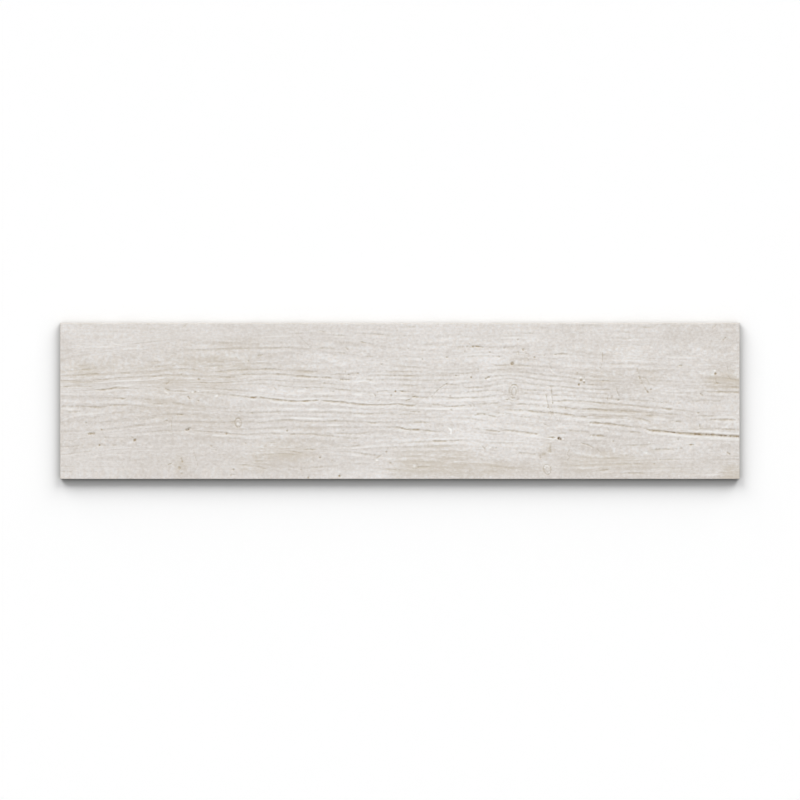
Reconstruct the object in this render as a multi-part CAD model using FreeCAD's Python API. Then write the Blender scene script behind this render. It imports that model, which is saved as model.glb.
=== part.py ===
import FreeCAD, Part
import math
import os

# A rectified porcelain plank tile, pressed, fired and ground as one piece. It lies face up.
# X runs along the plank, Y across it and Z up. The origin is the centre of its footprint,
# on the plane of the rib crests that the tile rests on. All lengths are in millimetres.

# Driving dimensions of the tile
tile_length = 1000.0
tile_width = 230.0
tile_thickness = 10.0  # from the crests of the back ribs to the face
face_arris = 0.6  # bevel that eases the ground edges round the face
back_arris = 1.2  # bevel round the back, left by the press mould

# Driving dimensions of the ribs on the back
rib_height = 0.7
rib_crest = 3.0  # width of a rib's flat crest
rib_slope = 45.0  # angle between a rib's flank and the back plane, in degrees
wanted_pitch = 24.0  # spacing of the ribs, rounded so that whole cells fill the field
plain_margin = 12.0  # plain strip from the tile's edge to the foot of the outermost ribs

# The rest follows from the dimensions above
rib_run = rib_height / math.tan(math.radians(rib_slope))  # width of a flank seen from below
crest_length = tile_length - 2 * (plain_margin + rib_run)  # the ribbed field at its crests
crest_width = tile_width - 2 * (plain_margin + rib_run)


def drafted_block(crest_x, crest_y, flare):
    """A solid from the crest plane to the back plane whose outline grows by flare on the way."""
    half_x = crest_x / 2
    half_y = crest_y / 2
    foot_x = half_x + flare
    foot_y = half_y + flare
    # A wedge rises along Y, so it is made lying down and then stood up
    crest = (-half_x, 0, -half_y)
    foot = (-foot_y, -foot_x)
    block = Part.makeWedge(*crest, *foot, half_x, rib_height, half_y, foot_y, foot_x)
    block.rotate(FreeCAD.Vector(0, 0, 0), FreeCAD.Vector(1, 0, 0), 90)
    return block


def whole_cells(crest_span):
    """How many cells fit between the outer ribs of the field, and their exact pitch."""
    span = crest_span - rib_crest  # from the middle of the first rib to that of the last
    count = max(1, round(span / wanted_pitch))
    return count, span / count


def back_ribs():
    """The lattice of ribs that keys into the bedding: a low field pierced by a grid of cells."""
    field = drafted_block(crest_length, crest_width, rib_run)
    count_x, pitch_x = whole_cells(crest_length)
    count_y, pitch_y = whole_cells(crest_width)
    cell = drafted_block(pitch_x - rib_crest, pitch_y - rib_crest, -rib_run)
    cells = []
    for column in range(count_x):
        for row in range(count_y):
            x = (column - (count_x - 1) / 2) * pitch_x
            y = (row - (count_y - 1) / 2) * pitch_y
            cells.append(cell.translated(FreeCAD.Vector(x, y, 0)))
    print(f"back ribs: {count_x} by {count_y} cells, pitch {pitch_x:.2f} by {pitch_y:.2f} mm")
    return field.cut(Part.makeCompound(cells))


def edges_in_plane(shape, z):
    """The edges of a shape that lie wholly at height z."""
    return [e for e in shape.Edges if all(abs(v.Z - z) < 1e-6 for v in e.Vertexes)]


def ground_slab():
    """The body above the back plane, with its square ground sides and both arrises."""
    corner = FreeCAD.Vector(-tile_length / 2, -tile_width / 2, rib_height)
    slab = Part.makeBox(tile_length, tile_width, tile_thickness - rib_height, corner)
    slab = slab.makeChamfer(face_arris, edges_in_plane(slab, tile_thickness))
    return slab.makeChamfer(back_arris, edges_in_plane(slab, rib_height))


def main():
    os.makedirs("parts", exist_ok=True)
    tile = ground_slab().fuse(back_ribs()).removeSplitter()
    solid = tile.Solids[0]
    print(f"plank tile: {len(tile.Solids)} solid, {len(solid.Faces)} faces, valid {solid.isValid()}")
    print(f"volume {solid.Volume / 1e6:.4f} litres")
    solid.exportStep("parts/plank_tile.step")


main()
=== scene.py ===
# Dresses the pale wood-look porcelain plank: the pressed and printed face with its growth rings,
# cracks, knots and pits, the ground sides and the ribbed back, on a white table under soft light.
# Lengths are in metres, and the lists of marks on the face are in millimetres from its middle.
import math

import bmesh
import bpy
import numpy as np
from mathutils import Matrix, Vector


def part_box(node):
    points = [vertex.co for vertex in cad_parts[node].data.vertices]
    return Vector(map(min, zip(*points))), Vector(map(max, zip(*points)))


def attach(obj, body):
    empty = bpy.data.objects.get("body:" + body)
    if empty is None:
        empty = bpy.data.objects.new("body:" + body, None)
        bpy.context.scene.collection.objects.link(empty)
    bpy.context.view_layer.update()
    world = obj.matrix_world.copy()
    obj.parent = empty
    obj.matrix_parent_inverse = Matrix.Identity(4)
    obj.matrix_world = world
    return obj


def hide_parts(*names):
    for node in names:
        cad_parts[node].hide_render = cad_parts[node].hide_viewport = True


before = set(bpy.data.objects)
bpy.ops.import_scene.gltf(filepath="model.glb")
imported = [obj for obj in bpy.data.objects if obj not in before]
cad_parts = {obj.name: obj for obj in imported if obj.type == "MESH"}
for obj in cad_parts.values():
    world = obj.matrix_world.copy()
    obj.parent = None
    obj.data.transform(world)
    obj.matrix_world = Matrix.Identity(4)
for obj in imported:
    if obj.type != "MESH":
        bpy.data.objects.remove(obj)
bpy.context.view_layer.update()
mm = 0.001
tiny = 0.01 * mm  # nearer than this, two places are the same
print("scene: frame loaded")


# Shared helpers for node trees and colours

def plug(tree, value, socket):
    # a node or socket is linked, anything else becomes the socket's own value
    if isinstance(value, bpy.types.Node):
        value = value.outputs[0]
    if isinstance(value, bpy.types.NodeSocket):
        tree.links.new(value, socket)
    else:
        socket.default_value = value


def addNode(tree, kind, inputs=None, **settings):
    made = tree.nodes.new(kind)
    for name, value in settings.items():
        setattr(made, name, value)
    for name, value in (inputs or {}).items():
        plug(tree, value, made.inputs[name])
    return made


def calc(tree, operation, *values):
    made = addNode(tree, "ShaderNodeMath", operation=operation)
    for index, value in enumerate(values):
        plug(tree, value, made.inputs[index])
    return made.outputs[0]


def ramp(tree, value, low, high, toLow=0.0, toHigh=1.0, shape="SMOOTHSTEP"):
    # value's stretch from low to high becomes toLow to toHigh, held at both ends
    inputs = {"Value": value, "From Min": low, "From Max": high, "To Min": toLow, "To Max": toHigh}
    return addNode(tree, "ShaderNodeMapRange", inputs, interpolation_type=shape).outputs["Result"]


def combine(tree, x, y, z=0.0):
    return addNode(tree, "ShaderNodeCombineXYZ", {"X": x, "Y": y, "Z": z}).outputs[0]


def noise(tree, vector, scales, detail=2.0, roughness=0.5):
    # a noise with a scale for each axis, drawn out along those where it is small
    stretched = addNode(tree, "ShaderNodeVectorMath", {0: vector, 1: scales}, operation="MULTIPLY")
    inputs = {"Vector": stretched, "Scale": 1.0, "Detail": detail, "Roughness": roughness}
    return addNode(tree, "ShaderNodeTexNoise", inputs, noise_dimensions="3D").outputs[0]


def shade(red, green, blue):
    # a display colour, 0 to 255, as the linear colour that a shader takes
    linear = [((c / 255 + 0.055) / 1.055) ** 2.4 for c in (red, green, blue)]
    return (*linear, 1.0)


def blendColor(tree, share, first, second):
    made = addNode(tree, "ShaderNodeMix", data_type="RGBA")
    colors = [s for s in made.inputs if s.type == "RGBA"]
    plug(tree, share, made.inputs[0])
    plug(tree, first, colors[0])
    plug(tree, second, colors[1])
    return [s for s in made.outputs if s.type == "RGBA"][0]


# The marks of the wood, read off the face. A growth line is its tone and then the places
# along and across that it passes through. Tone runs from 0, unseen, to 1, as dark as the widest
# crack. Below 0 the line is a pale band, where the whitewash has stayed.

growthLines = [
    # left end, above the middle
    (0.4, -478, 51.7, -467, 52.5, -455, 53.3, -445, 54.7),
    (0.3, -505, 44.2, -487, 44.7, -475, 45.3, -467, 46.2), (0.7, -472, 46, -462, 46.8, -453, 47.7),
    (0.35, -453, 47.7, -438, 48.8, -428, 48.7),
    (0.1, -417, 46.7, -407, 47.5, -397, 48.3, -383, 48.8, -370, 50),
    (0.5, -370, 50, -358, 51.3, -348, 52), (0.3, -345, 51.5, -327, 53, -317, 53.7, -303, 52, -297, 51.7),
    (0.62, -290, 51, -270, 51.7, -250, 53.3), (0.35, -505, 37.5, -490, 37.5, -480, 38, -470, 38.7),
    (0.65, -474, 38, -460, 39.2, -450, 40.3, -443, 40), (0.05, -443, 39.8, -423, 39.7, -413, 40.8),
    (0.85, -412, 41, -405, 41.5, -397, 41.5),
    (0.12, -397, 41.3, -383, 42.5, -373, 43.3, -353, 44.7, -345, 45.8),
    (0.5, -347, 45.8, -337, 47, -327, 47.5), (0.65, -327, 47.3, -307, 46.7, -298, 45.8),
    (0.15, -298, 45.8, -283, 43.7, -270, 43.3), (0.6, -453, 30.8, -442, 31.7, -433, 32, -425, 33.3),
    (0.45, -425, 33.3, -417, 34.2, -407, 34.7, -387, 35), (0.5, -392, 34.8, -385, 35.2, -380, 36.5),
    (0.65, -375, 36.5, -370, 35.8, -363, 36.3), (0.85, -363, 36.4, -355, 37, -347, 38),
    (0.35, -347, 38, -338, 38.3, -317, 37.8, -297, 36.7, -270, 36.7),
    (0.6, -268, 36.2, -260, 35.3, -250, 35),
    (0.4, -505, 29.7, -490, 30.3, -480, 29.7, -470, 28.3, -460, 28), (0.5, -460, 27.8, -448, 29.8),
    (0.6, -505, 21, -490, 21.6, -480, 22.4, -470, 22.2, -455, 21.8),
    (0.12, -427, 25.8, -403, 26.3, -383, 28, -373, 28, -363, 27.5, -355, 25.8, -347, 25.8, -340, 28.3),
    (0.78, -449, 16.6, -438, 16.8, -428, 18.2, -418, 19.8, -407, 19.7, -400, 19.2),
    (0.35, -398, 19, -380, 18), (0.35, -373, 20.8, -367, 21.3, -358, 20.3, -350, 18.3),
    (0.62, -333, 14.9, -323, 14.7, -313, 14.2),
    (0.25, -305, 19.7, -293, 19.7, -283, 20, -272, 18.3, -260, 16.7),
    (0.4, -262, 17, -250, 16.5, -240, 16.5), (0.35, -302, 27.5, -293, 27.5),
    (0.6, -293, 27.6, -287, 27.2, -277, 26.4), (0.45, -276, 26.4, -258, 27.5, -242, 28.3, -233, 28.7),
    (0.4, -307, 12, -287, 13, -277, 11.7, -257, 10.3, -246, 9.2),
    (0.3, -505, 7.5, -492, 7.5, -483, 5.8, -465, 6.7, -457, 6.7, -450, 5),
    (0.35, -450, 5, -443, 4.2, -433, 5, -417, 4.5), (0.85, -418, 4.6, -412, 4, -405, 4),
    (0.4, -400, 4.6, -387, 3.7), (0.5, -388, 3.7, -377, 3, -368, 2.5),
    (0.3, -367, 1.9, -360, 1.3, -352, 1.3, -343, -0.5), (0.04, -482, 64, -467, 66.7),
    (0.25, -410, 66.7, -400, 65.3), (0.25, -368, 65.6, -358, 65.3), (0.3, -372, 58.3, -354, 57.5),
    (0.3, -284, 57.7, -270, 57.5, -258, 58.5),
    # left end, below the middle
    (0.3, -343, -2.5, -333, -2.3), (0.85, -333, -2.6, -327, -3.3, -318, -4.6),
    (0.15, -317, -4.8, -303, -7.5), (0.28, -303, -7.6, -293, -8, -285, -7, -278, -7),
    (0.55, -270, -10, -260, -11.3, -253, -10.3), (0.6, -363, -3.3, -357, -4.2, -349, -3.7),
    (0.4, -395, -5, -385, -7, -377, -8.3, -368, -9.5, -361, -9),
    (0.7, -490, -16, -480, -15.5, -470, -14.8), (0.4, -468, -25.8, -450, -23.5, -442, -22.2, -425, -20.5),
    (0.5, -437, -19.8, -425, -18, -417, -16.7, -400, -15), (0.25, -397, -16.7, -387, -17, -377, -18.3),
    (0.3, -370, -21.3, -360, -21.7, -352, -19.5), (0.45, -352, -19.4, -342, -19.7, -335, -19),
    (0.45, -329, -19.8, -319, -19.8), (0.6, -307, -19.3, -296, -19.3),
    (0.15, -296, -20, -288, -22.5, -258, -25), (0.4, -413, -26.7, -403, -25.6, -393, -25.8),
    (0.4, -393, -25.8, -377, -26.7, -367, -25, -350, -22), (0.35, -505, -31.3, -482, -30.8),
    (0.35, -458, -33, -440, -31.3, -420, -29.5), (0.3, -400, -37.6, -392, -35.9),
    (0.6, -392, -35.7, -385, -35.4, -377, -35.6), (0.18, -377, -35.5, -367, -34.2, -348, -30.8),
    (0.5, -349, -30.6, -343, -29.4, -338, -30), (0.32, -338, -30, -327, -30.8, -297, -30.5, -285, -31),
    (0.45, -285, -31, -275, -31.4, -263, -31.9, -250, -30.2),
    (0.25, -442, -43, -430, -40.8, -410, -39.7, -393, -37),
    (0.38, -372, -45.2, -360, -44.7, -350, -43.3, -342, -43, -333, -44.2), (0.3, -333, -44.2, -315, -42),
    (0.5, -309, -40.8, -303, -40.8, -297, -41.3), (0.4, -307, -42.5, -297, -44.2, -285, -45),
    (0.6, -285, -44.6, -275, -45.6, -263, -45.8, -250, -47.6),
    (0.3, -505, -44.2, -490, -44.7, -482, -43.5), (0.1, -307, -51.7, -285, -53, -275, -53, -250, -55.3),
    (0.05, -370, -60.8, -347, -58.7, -327, -59.7, -317, -59.2),
    (0.15, -317, -59.2, -303, -58, -292, -57.5, -270, -59.2, -250, -60.5),
    (0.3, -443, -54.2, -425, -54.2, -400, -53.7),
    (0.3, -505, -59.2, -492, -58.7, -473, -55.3, -465, -55.3),
    (0.48, -505, -67, -482, -67, -473, -65, -463, -63), (0.25, -490, -72, -467, -68.3, -457, -66.3),
    (0.35, -500, -78.7, -480, -76.3, -460, -73.3, -452, -71.3), (0.45, -440, -65, -425, -65, -410, -64),
    (0.45, -505, -95.2, -490, -95.8, -482, -95.8), (0.45, -505, -103.7, -492, -103.6, -483, -104),
    (0.25, -467, -103.7, -442, -103.7), (0.25, -450, -96, -430, -96.3),
    (0.3, -403, -87.5, -393, -87, -383, -86), (0.25, -430, -84.2, -418, -84),
    # left of the middle, above the long crack
    (0.35, -218, 55, -195, 55, -183, 54.2), (0.6, -268, 43.6, -260, 44.5, -250, 45.2, -240, 45.8),
    (0.58, -243, 45.7, -230, 46.2, -220, 46.9), (0.5, -221, 46.8, -213, 46.2, -207, 46.6),
    (0.75, -206, 47.3, -195, 47.5, -185, 47, -177, 46.2), (0.15, -177, 46, -167, 45, -161, 44.8),
    (0.4, -162, 44.8, -150, 44.4, -140, 44), (0.8, -141, 44.2, -133, 43.4, -126, 43.2),
    (0.7, -126, 43.4, -120.5, 43.8), (0.35, -118, 46.7, -107, 45.8), (0.5, -252, 35.3, -246, 35.4),
    (0.45, -246, 35.6, -237, 38.1), (0.62, -236, 38.6, -228, 39.4, -218, 39.6, -210, 39.2),
    (0.25, -210, 39.2, -200, 40, -188, 39.7), (0.75, -188, 39.7, -178, 39.7, -170, 39.2, -163, 38.4),
    (0.5, -163, 38.4, -156, 37.2), (0.85, -155, 36.8, -145, 37, -137, 36, -129, 35.6),
    (0.7, -129, 35.4, -119.5, 35), (0.85, -116, 35, -107, 34.8, -98.5, 34.2),
    (0.58, -97, 39.2, -87, 39.7, -80, 38.9), (0.45, -77, 38.7, -68, 40.8, -59, 41.7),
    (0.05, -88, 32, -81, 31.6, -73, 31.6), (0.85, -48, 31.4, -40, 31),
    (0.35, -33, 31.7, -22, 31.7, -10, 32.5, 0, 31.7), (0.15, -233, 28.8, -225, 30, -215, 30.8),
    (0.5, -215, 30.8, -205, 31.3, -195, 31.4), (0.5, -185, 31.4, -177, 30.4),
    (0.35, -175, 30.3, -165, 29.2, -155, 28), (0.25, -155, 28, -135, 28.3),
    (0.35, -135, 28.3, -125, 29.2, -118, 28.5), (0.4, -113, 26.4, -102, 25.5, -92, 25),
    (0.25, -92, 25, -82, 23.4, -70, 23), (0.42, -223, 25.3, -207, 25.2),
    (0.4, -207, 25.2, -193, 25.3, -185, 24.2, -181, 23), (0.65, -181, 22.8, -173, 22.2, -166, 21.5),
    (0.2, -166, 21.3, -158, 20.4, -150, 20), (0.35, -145, 20, -133, 19.8),
    (0.6, -127, 19.9, -118, 20, -108, 19.3), (0.4, -108, 19.2, -100, 18.1),
    (0.65, -94, 17.5, -86, 17, -79, 16.5), (0.5, -79, 16.3, -71, 15.6),
    (0.5, -68, 15, -60, 14.4, -53, 13), (0.35, -50, 10.8, -40, 10.3),
    (0.35, -33, 14.3, -23, 15, -13, 15.3), (0.5, -32, 37.7, -24, 38),
    (0.7, -25, 37.7, -12, 37.7, 4, 37.4, 21, 37.2), (0.55, -14, 43.3, -2, 43.6),
    (0.35, -115, 7.5, -107, 6.7, -98, 7.5),
    # left of the middle, below the long crack
    (0.35, -250, -14.7, -242, -16.5, -233, -15.8, -217, -17.5, -207, -16.7),
    (0.45, -207, -16.7, -198, -16.2, -188, -16.7, -178, -15, -170, -15.5),
    (0.3, -170, -15.6, -160, -16.7), (0.4, -144, -16.5, -118, -16.7),
    (0.5, -118, -16.6, -108, -15.8, -102, -16.2), (0.35, -102, -16.6, -93, -17, -83, -16.8),
    (0.4, -76, -15.8, -70, -16.8), (0.75, -68, -18.4, -58, -18.2, -48, -18.7, -40, -18.6),
    (0.4, -40, -18.6, -23, -17.5, -13, -17.6, -5, -19.2), (0.3, -235, -8, -227, -8),
    (0.45, -250, -30.7, -243, -30.2), (0.35, -230, -30, -222, -30.3, -213, -31.3),
    (0.5, -211, -31.8, -205, -32, -198, -30.9), (0.35, -198, -30.9, -190, -29.7, -180, -29.2),
    (0.45, -180, -29.2, -171, -28), (0.7, -171, -27.9, -165, -27.6, -156, -28),
    (0.4, -156, -28, -148, -29.2, -140, -30), (0.55, -140, -30, -130, -30.7, -118, -30.7),
    (0.4, -118, -30.7, -103, -29.6), (0.75, -101, -29.3, -94, -28.4, -87, -29.6),
    (0.35, -87, -29.7, -77, -30.3, -67, -29.7, -57, -30.3, -46, -30.9),
    (0.85, -45, -31.6, -38, -31.9, -31, -31.5),
    (0.2, -31, -30.6, -22, -31.3, -10, -31.7, 0, -32.3, 18, -32),
    (0.3, -230, -40.8, -222, -42.5, -213, -42, -203, -40.8), (0.35, -203, -40.8, -195, -40, -185, -39.6),
    (0.45, -187, -39.6, -177, -39.2, -170, -38.7), (0.35, -155, -38.2, -147, -38.4, -141, -39),
    (0.2, -141, -39.2, -132, -39.7, -122, -40), (0.15, -122, -40, -112, -39.2, -92, -38),
    (0.22, -85, -38.2, -73, -38.7, -53, -39.2), (0.45, -18, -38.3, -8, -38, 0, -38.3),
    (0.55, -250, -48.3, -240, -48.7, -230, -49.7, -220, -49.6),
    (0.35, -220, -49.5, -212, -48.7, -204, -48), (0.5, -204, -48, -192, -47.6, -182, -48, -172, -49.1),
    (0.6, -162, -48.7, -152, -48.3, -142, -48.3),
    (0.5, -142, -48.3, -132, -48.3, -123, -49.2, -117, -49.8),
    (0.62, -117, -50, -107, -50.5, -97, -51.7, -87, -53),
    (0.5, -87, -53, -77, -54.1, -68, -54.6, -60, -54.2), (0.35, -112, -48.5, -102, -48, -92, -47.6),
    (0.6, -92, -47.5, -82, -47.6, -72, -48.3, -62, -48, -53, -47, -45, -45.2),
    (0.6, -250, -55.3, -242, -55, -233, -56.3), (0.2, -233, -56.3, -223, -57.5, -213, -57.4, -203, -56.3),
    (0.35, -203, -56.3, -193, -55, -183, -55, -173, -56.3),
    (0.1, -173, -56.3, -163, -56.7, -153, -55.3, -145, -55.7), (0.3, -144, -55.8, -135, -57.4, -127, -58),
    (0.05, -119, -59.8, -97, -60.8, -87, -60.8), (0.4, -87, -60.9, -77, -60.9, -67, -61.7, -57, -62.3),
    (0.12, -250, -60.8, -240, -60.2, -222, -61.7), (0.45, -200, -60.4, -190, -60.8, -180, -60.4),
    (0.25, -180, -60.5, -162, -60.9, -140, -62.5), (0.6, -139, -70.9, -131, -70.9, -123, -71),
    (0.55, -85, -66.2, -75, -67.3, -67, -66.3, -58, -63.9), (0.45, -80, -73.3, -70, -74.4, -60, -75.7),
    (0.6, -60, -75.8, -50, -78.2, -42, -78.6), (0.35, -42, -78.7, -35, -80.2, -25, -78.7),
    (0.35, -33, -69.5, -13, -68.7), (0.4, -65, -92.3, -53, -92), (0.45, -19, -100.2, -8, -100.8, 2, -102),
    (0.4, -217, -83.3, -207, -83.7, -182, -84.5), (0.45, -218, -87.2, -207, -88.2, -197, -88.4),
    (0.4, -205, -79.5, -183, -77.8), (0.5, -183, -77.8, -173, -77, -163, -77.8, -155, -78.3),
    (0.55, -167, -72.8, -157, -73.7, -147, -75.7, -142, -76.2),
    (0.35, -162, -70.3, -152, -69.3, -143, -67), (0.5, -235, -93.8, -223, -93.6, -213, -94.5),
    (0.6, -213, -94.8, -205, -97.4, -196, -99.4), (0.35, -167, -94.5, -158, -97, -150, -97.8),
    (0.5, -127, -98.6, -117, -97, -110, -96.3), (0.5, -252, -108.7, -240, -107.8),
    (0.4, -130, -108.4, -123, -108.7),
    # the upper edge
    (0.08, -327, 74.2, -315, 75, -305, 75.8), (0.38, -305, 75.8, -283, 75.3, -273, 75.8),
    (0.28, -273, 75.9, -262, 77, -250, 77), (0.4, -270, 86.7, -258, 85.3, -248, 85.8),
    (0.35, -390, 85, -380, 85.3, -370, 87.5, -358, 88.7), (0.35, -370, 106.5, -358, 106),
    (0.3, -427, 103, -415, 102.5), (0.3, -402, 108, -392, 108.5), (0.3, -320, 103, -307, 104),
    (0.5, -250, 77, -240, 77.7, -230, 77.7, -220, 76.5), (0.4, -213, 77.8, -198, 78),
    (0.5, -198, 78, -187, 78, -167, 79.2, -157, 79.3), (0.25, -157, 79.2, -147, 77.7, -135, 75.3),
    (0.55, -118, 78, -107, 78.3, -97, 77.4), (0.4, -90, 71.5, -80, 69.4), (0.35, -87, 85.6, -77, 85.5),
    (0.25, -77, 85.5, -63, 83.7), (0.4, -50, 86.4, -40, 83.2), (0.32, -63, 99.8, -50, 99.3, -38, 98.8),
    (0.5, -38, 98.8, -27, 98, -13, 96.8), (0.85, -93, 97.2, -83, 96.4), (0.45, -155, 99.7, -143, 99.8),
    (0.45, 83, 80.2, 93, 79.3), (0.15, 97, 80, 104, 80.8, 112, 81.2, 120, 80.4, 125, 79.6),
    (0.5, 130, 79.4, 140, 79.8), (0.4, 148, 78.6, 158, 79.2), (0.45, 158, 79.3, 170, 80.2),
    (0.4, 33, 84.5, 43, 83.2, 50, 83), (0.18, 50, 83, 63, 84, 72, 86), (0.4, 27, 75.2, 38, 74.3),
    (0.45, 9, 109.3, 22, 109.3), (0.32, 0, 96, 10, 96.3, 24, 96.8), (0.22, 55, 94.3, 63, 95.2, 73, 97.7),
    (0.4, 85, 99, 93, 96, 103, 94, 110, 94.3), (0.22, 133, 96, 143, 96), (0.45, 183, 99.9, 197, 99.9),
    (0.75, 228, 68.6, 235, 69.5, 242, 69.9, 249, 69.2), (0.4, 100, 65.7, 125, 66.8, 150, 65.8),
    (0.25, 202, 107.7, 217, 108), (0.32, 262, 110.4, 273, 111.5, 283, 111.4, 293, 109.8),
    (0.25, 346, 109.3, 358, 109), (0.45, 357, 109.1, 367, 108.8, 373, 109.6),
    (0.32, 373, 109.8, 383, 112), (0.5, 329, 101.6, 341, 101.2),
    (0.2, 251, 73.3, 258, 74, 264, 73.4, 273, 71.3, 283, 69, 292, 68.6),
    (0.38, 320, 94, 330, 91.6, 340, 92.3, 350, 94), (0.4, 298, 68.5, 306, 68),
    # from the middle to the knot
    (0.22, 0, 51.7, 10, 50.8, 20, 49.7, 32, 48.7), (0.4, 0, 43.7, 8, 43.3, 17, 43.3),
    (0.35, 20, 37, 30, 36.7, 50, 38.3), (0.4, 50, 38.3, 70, 38, 88, 37.4),
    (0.4, 40, 40.5, 60, 41, 93, 40.5, 103, 41.3, 115, 41.7), (0.4, 103, 42.6, 112, 43.2),
    (0.4, 123, 41.3, 132, 42.7), (0.4, 0, 31.7, 17, 30.9, 27, 30.3),
    (0.35, 27, 30.3, 37, 30, 47, 30.8, 67, 30.8, 75, 31.5), (0.18, 75, 31.5, 90, 32.5, 118, 33.5),
    (0.35, 133, 35, 140, 36.1), (0.5, 141, 36.3, 147.8, 37.2, 154, 37.4),
    (0.35, 154, 37.4, 167, 37.4, 173, 37.1, 180, 36.1, 187, 34.8), (0.5, 187, 34.8, 193, 34, 200, 33),
    (0.4, 200, 33, 213, 30.9, 221, 30), (0.45, 221, 30, 238, 29.1, 247, 27.8, 260, 26.1),
    (0.32, 181, 42.9, 188, 42, 196, 40.9), (0.5, 196, 40.8, 202, 39.5, 209, 38.9, 216, 37.8),
    (0.4, 216, 37.8, 229, 36.9), (0.5, 229, 36.9, 237, 36.1, 244, 35.3),
    (0.35, 244, 35.3, 252, 34.2, 260, 32.8), (0.2, 88, 25.2, 100, 26.7, 113, 27.7, 120, 27.6),
    (0.35, 120, 27.6, 127, 27.6, 133, 28.3, 140, 30, 147, 31.7, 153, 32.8),
    (0.45, 153, 32.8, 160, 32.9, 167, 33.2),
    (0.6, 174, 32, 178, 30, 182, 27.8, 189, 26.1, 196, 24.7, 202, 23.9),
    (0.15, 202, 23.9, 209, 23.9, 216, 23.3), (0.65, 218, 23, 222, 22.3, 229, 22),
    (0.45, 229, 22, 237, 21.7, 244, 20.6), (0.65, 246, 20.3, 252, 19.7, 260, 19.2, 268, 19.2),
    (0.5, 98, 19.8, 107, 19.8), (0.75, 107, 20, 113, 20.3, 120, 20.1),
    (0.45, 120, 20.2, 127, 21.7, 133, 22.4), (0.4, 133, 22.4, 140, 23.3, 147, 25.3, 152, 27.6, 158, 29),
    (0.6, 177, 18.3, 182, 17.2, 189, 16.4, 202, 15.8), (0.4, 202, 15.8, 216, 15.3, 222, 15.1),
    (0.5, 222, 15.1, 229, 15.3, 236, 15.2, 243, 14.4), (0.4, 243, 14.4, 260, 13.2),
    (0.5, 100, 13.4, 107, 14.1, 113, 13.9), (0.55, 113, 13.9, 120, 14.7, 127, 15.6, 140, 15.6),
    (0.6, 141, 15.8, 149, 16), (0.35, 149, 14, 155, 11, 160, 12), (0.6, 179, 12.3, 184, 12, 191, 11.2),
    (0.4, 191, 11.1, 198, 10.6, 204, 9.8, 218, 9.4), (0.6, 221, 9.1, 230, 8.9, 237, 8.7),
    (0.45, 237, 8.7, 244, 8.3, 260, 7.6), (0.72, 98, 5.5, 107, 5.3, 116, 5.4),
    (0.45, 116, 5.5, 127, 6.4, 133, 7.2, 140, 8.3), (0.4, 140, 8.3, 147, 8.9, 155, 9.6),
    (0.35, 182, 3.9, 189, 3.1, 196, 2.2), (0.4, 196, 2.2, 202, 1.3, 209, 0.9), (0.55, 223, 1.1, 230, 0.1),
    (0.75, 230, 0, 237, 0, 242, 1, 250, 1.2, 257, 0.9), (0.45, 257, 0.8, 272, 0.2),
    (0.45, 117, -3.9, 124, -4.2), (0.4, 124, -4, 131, -3.1), (0.75, 135.5, -2.9, 143.5, -3.2),
    (0.85, 144, -9, 150, -6.8), (0.4, 150, -6.7, 162, -6.4, 169, -5.6),
    (0.7, 173, -5, 180, -4.2, 187, -4.8), (0.6, 187, -5, 200, -5.7, 207, -6.7),
    (0.55, 207, -6.7, 212, -7.3, 218, -8.6), (0.5, 222, -8.8, 233, -8.7),
    (0.75, 233, -8.8, 246, -8.8, 252, -10), (0.6, 154, -11.7, 162, -12.7, 169, -13),
    (0.7, 169, -13, 182, -13.3), (0.5, 182, -13.2, 189, -13.3),
    (0.9, 190, -13.8, 197, -15.1, 207, -16, 213, -16.9), (0.8, 213, -16.4, 220, -17, 227, -17.2),
    (0.88, 228, -17.3, 233, -17.6, 240, -18.6, 254, -20.2), (0.6, 128, -13.2, 134, -13.8),
    (0.55, 137, -14, 141, -16), (0.65, 143, -16.5, 149, -17.8), (0.9, 153.5, -17.8, 160, -18.3),
    (0.4, 160, -18.4, 166, -19.4), (0.95, 111, -20.6, 115.6, -18.9, 119.4, -17.5, 123, -18.3, 128, -19.4),
    (0.75, 131, -20.8, 138, -22.2, 143, -23.5), (0.5, 98, -25, 107, -25.8, 113, -27.3),
    (0.35, 78, -25.8, 88, -25.8), (0.6, 180, -22.8, 187, -23.3, 193, -24),
    (0.55, 3, 23.4, 10, 23.7, 18, 23, 25, 22.8), (0.4, 60, 23, 66, 24.2),
    (0.6, 66, 24.2, 74, 24.4, 80, 24), (0.45, 80, 24, 88, 23.4),
    (0.3, 30, 19.2, 57, 19.2, 70, 18.3, 80, 18.7, 90, 19.6, 98, 19.8), (0.7, 0, 15, 8, 13.9, 18, 14.2),
    (0.2, 22, 12.5, 33, 12.5, 43, 12, 55, 12.5, 67, 12.4), (0.1, 67, 12.4, 78, 12, 90, 12.5, 100, 13.4),
    (0.75, 18, 6.9, 25, 6.2, 33, 5.6, 40, 5.5), (0.45, 42, 5.7, 52, 5.8, 62, 6.3),
    (0.45, 62, 6.3, 70, 5.3), (0.6, 70, 5.2, 80, 4.3, 88, 4.6), (0.5, 88, 4.6, 98, 5.3),
    (1, 48, -4.4, 55, -5, 60, -6), (0.5, 60, -6, 66, -7.2), (0.7, 66, -7.3, 73, -8, 82, -7.6),
    (0.65, 82, -7.5, 93, -6.7, 100, -5.9), (0.4, 100, -5.8, 107, -4.4),
    (0.3, 25, -3.3, 37, -3.8, 48, -4.4), (0.65, 0, -13.2, 7, -13.3),
    (0.7, 17, -14.8, 23, -15.5, 30, -15.3), (0.5, 0, -19.7, 10, -19.2, 20, -18.3),
    (0.3, 35, -24, 48, -24), (0.7, 20, -31.3, 27, -30.8, 35, -31.2, 42, -31),
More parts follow.
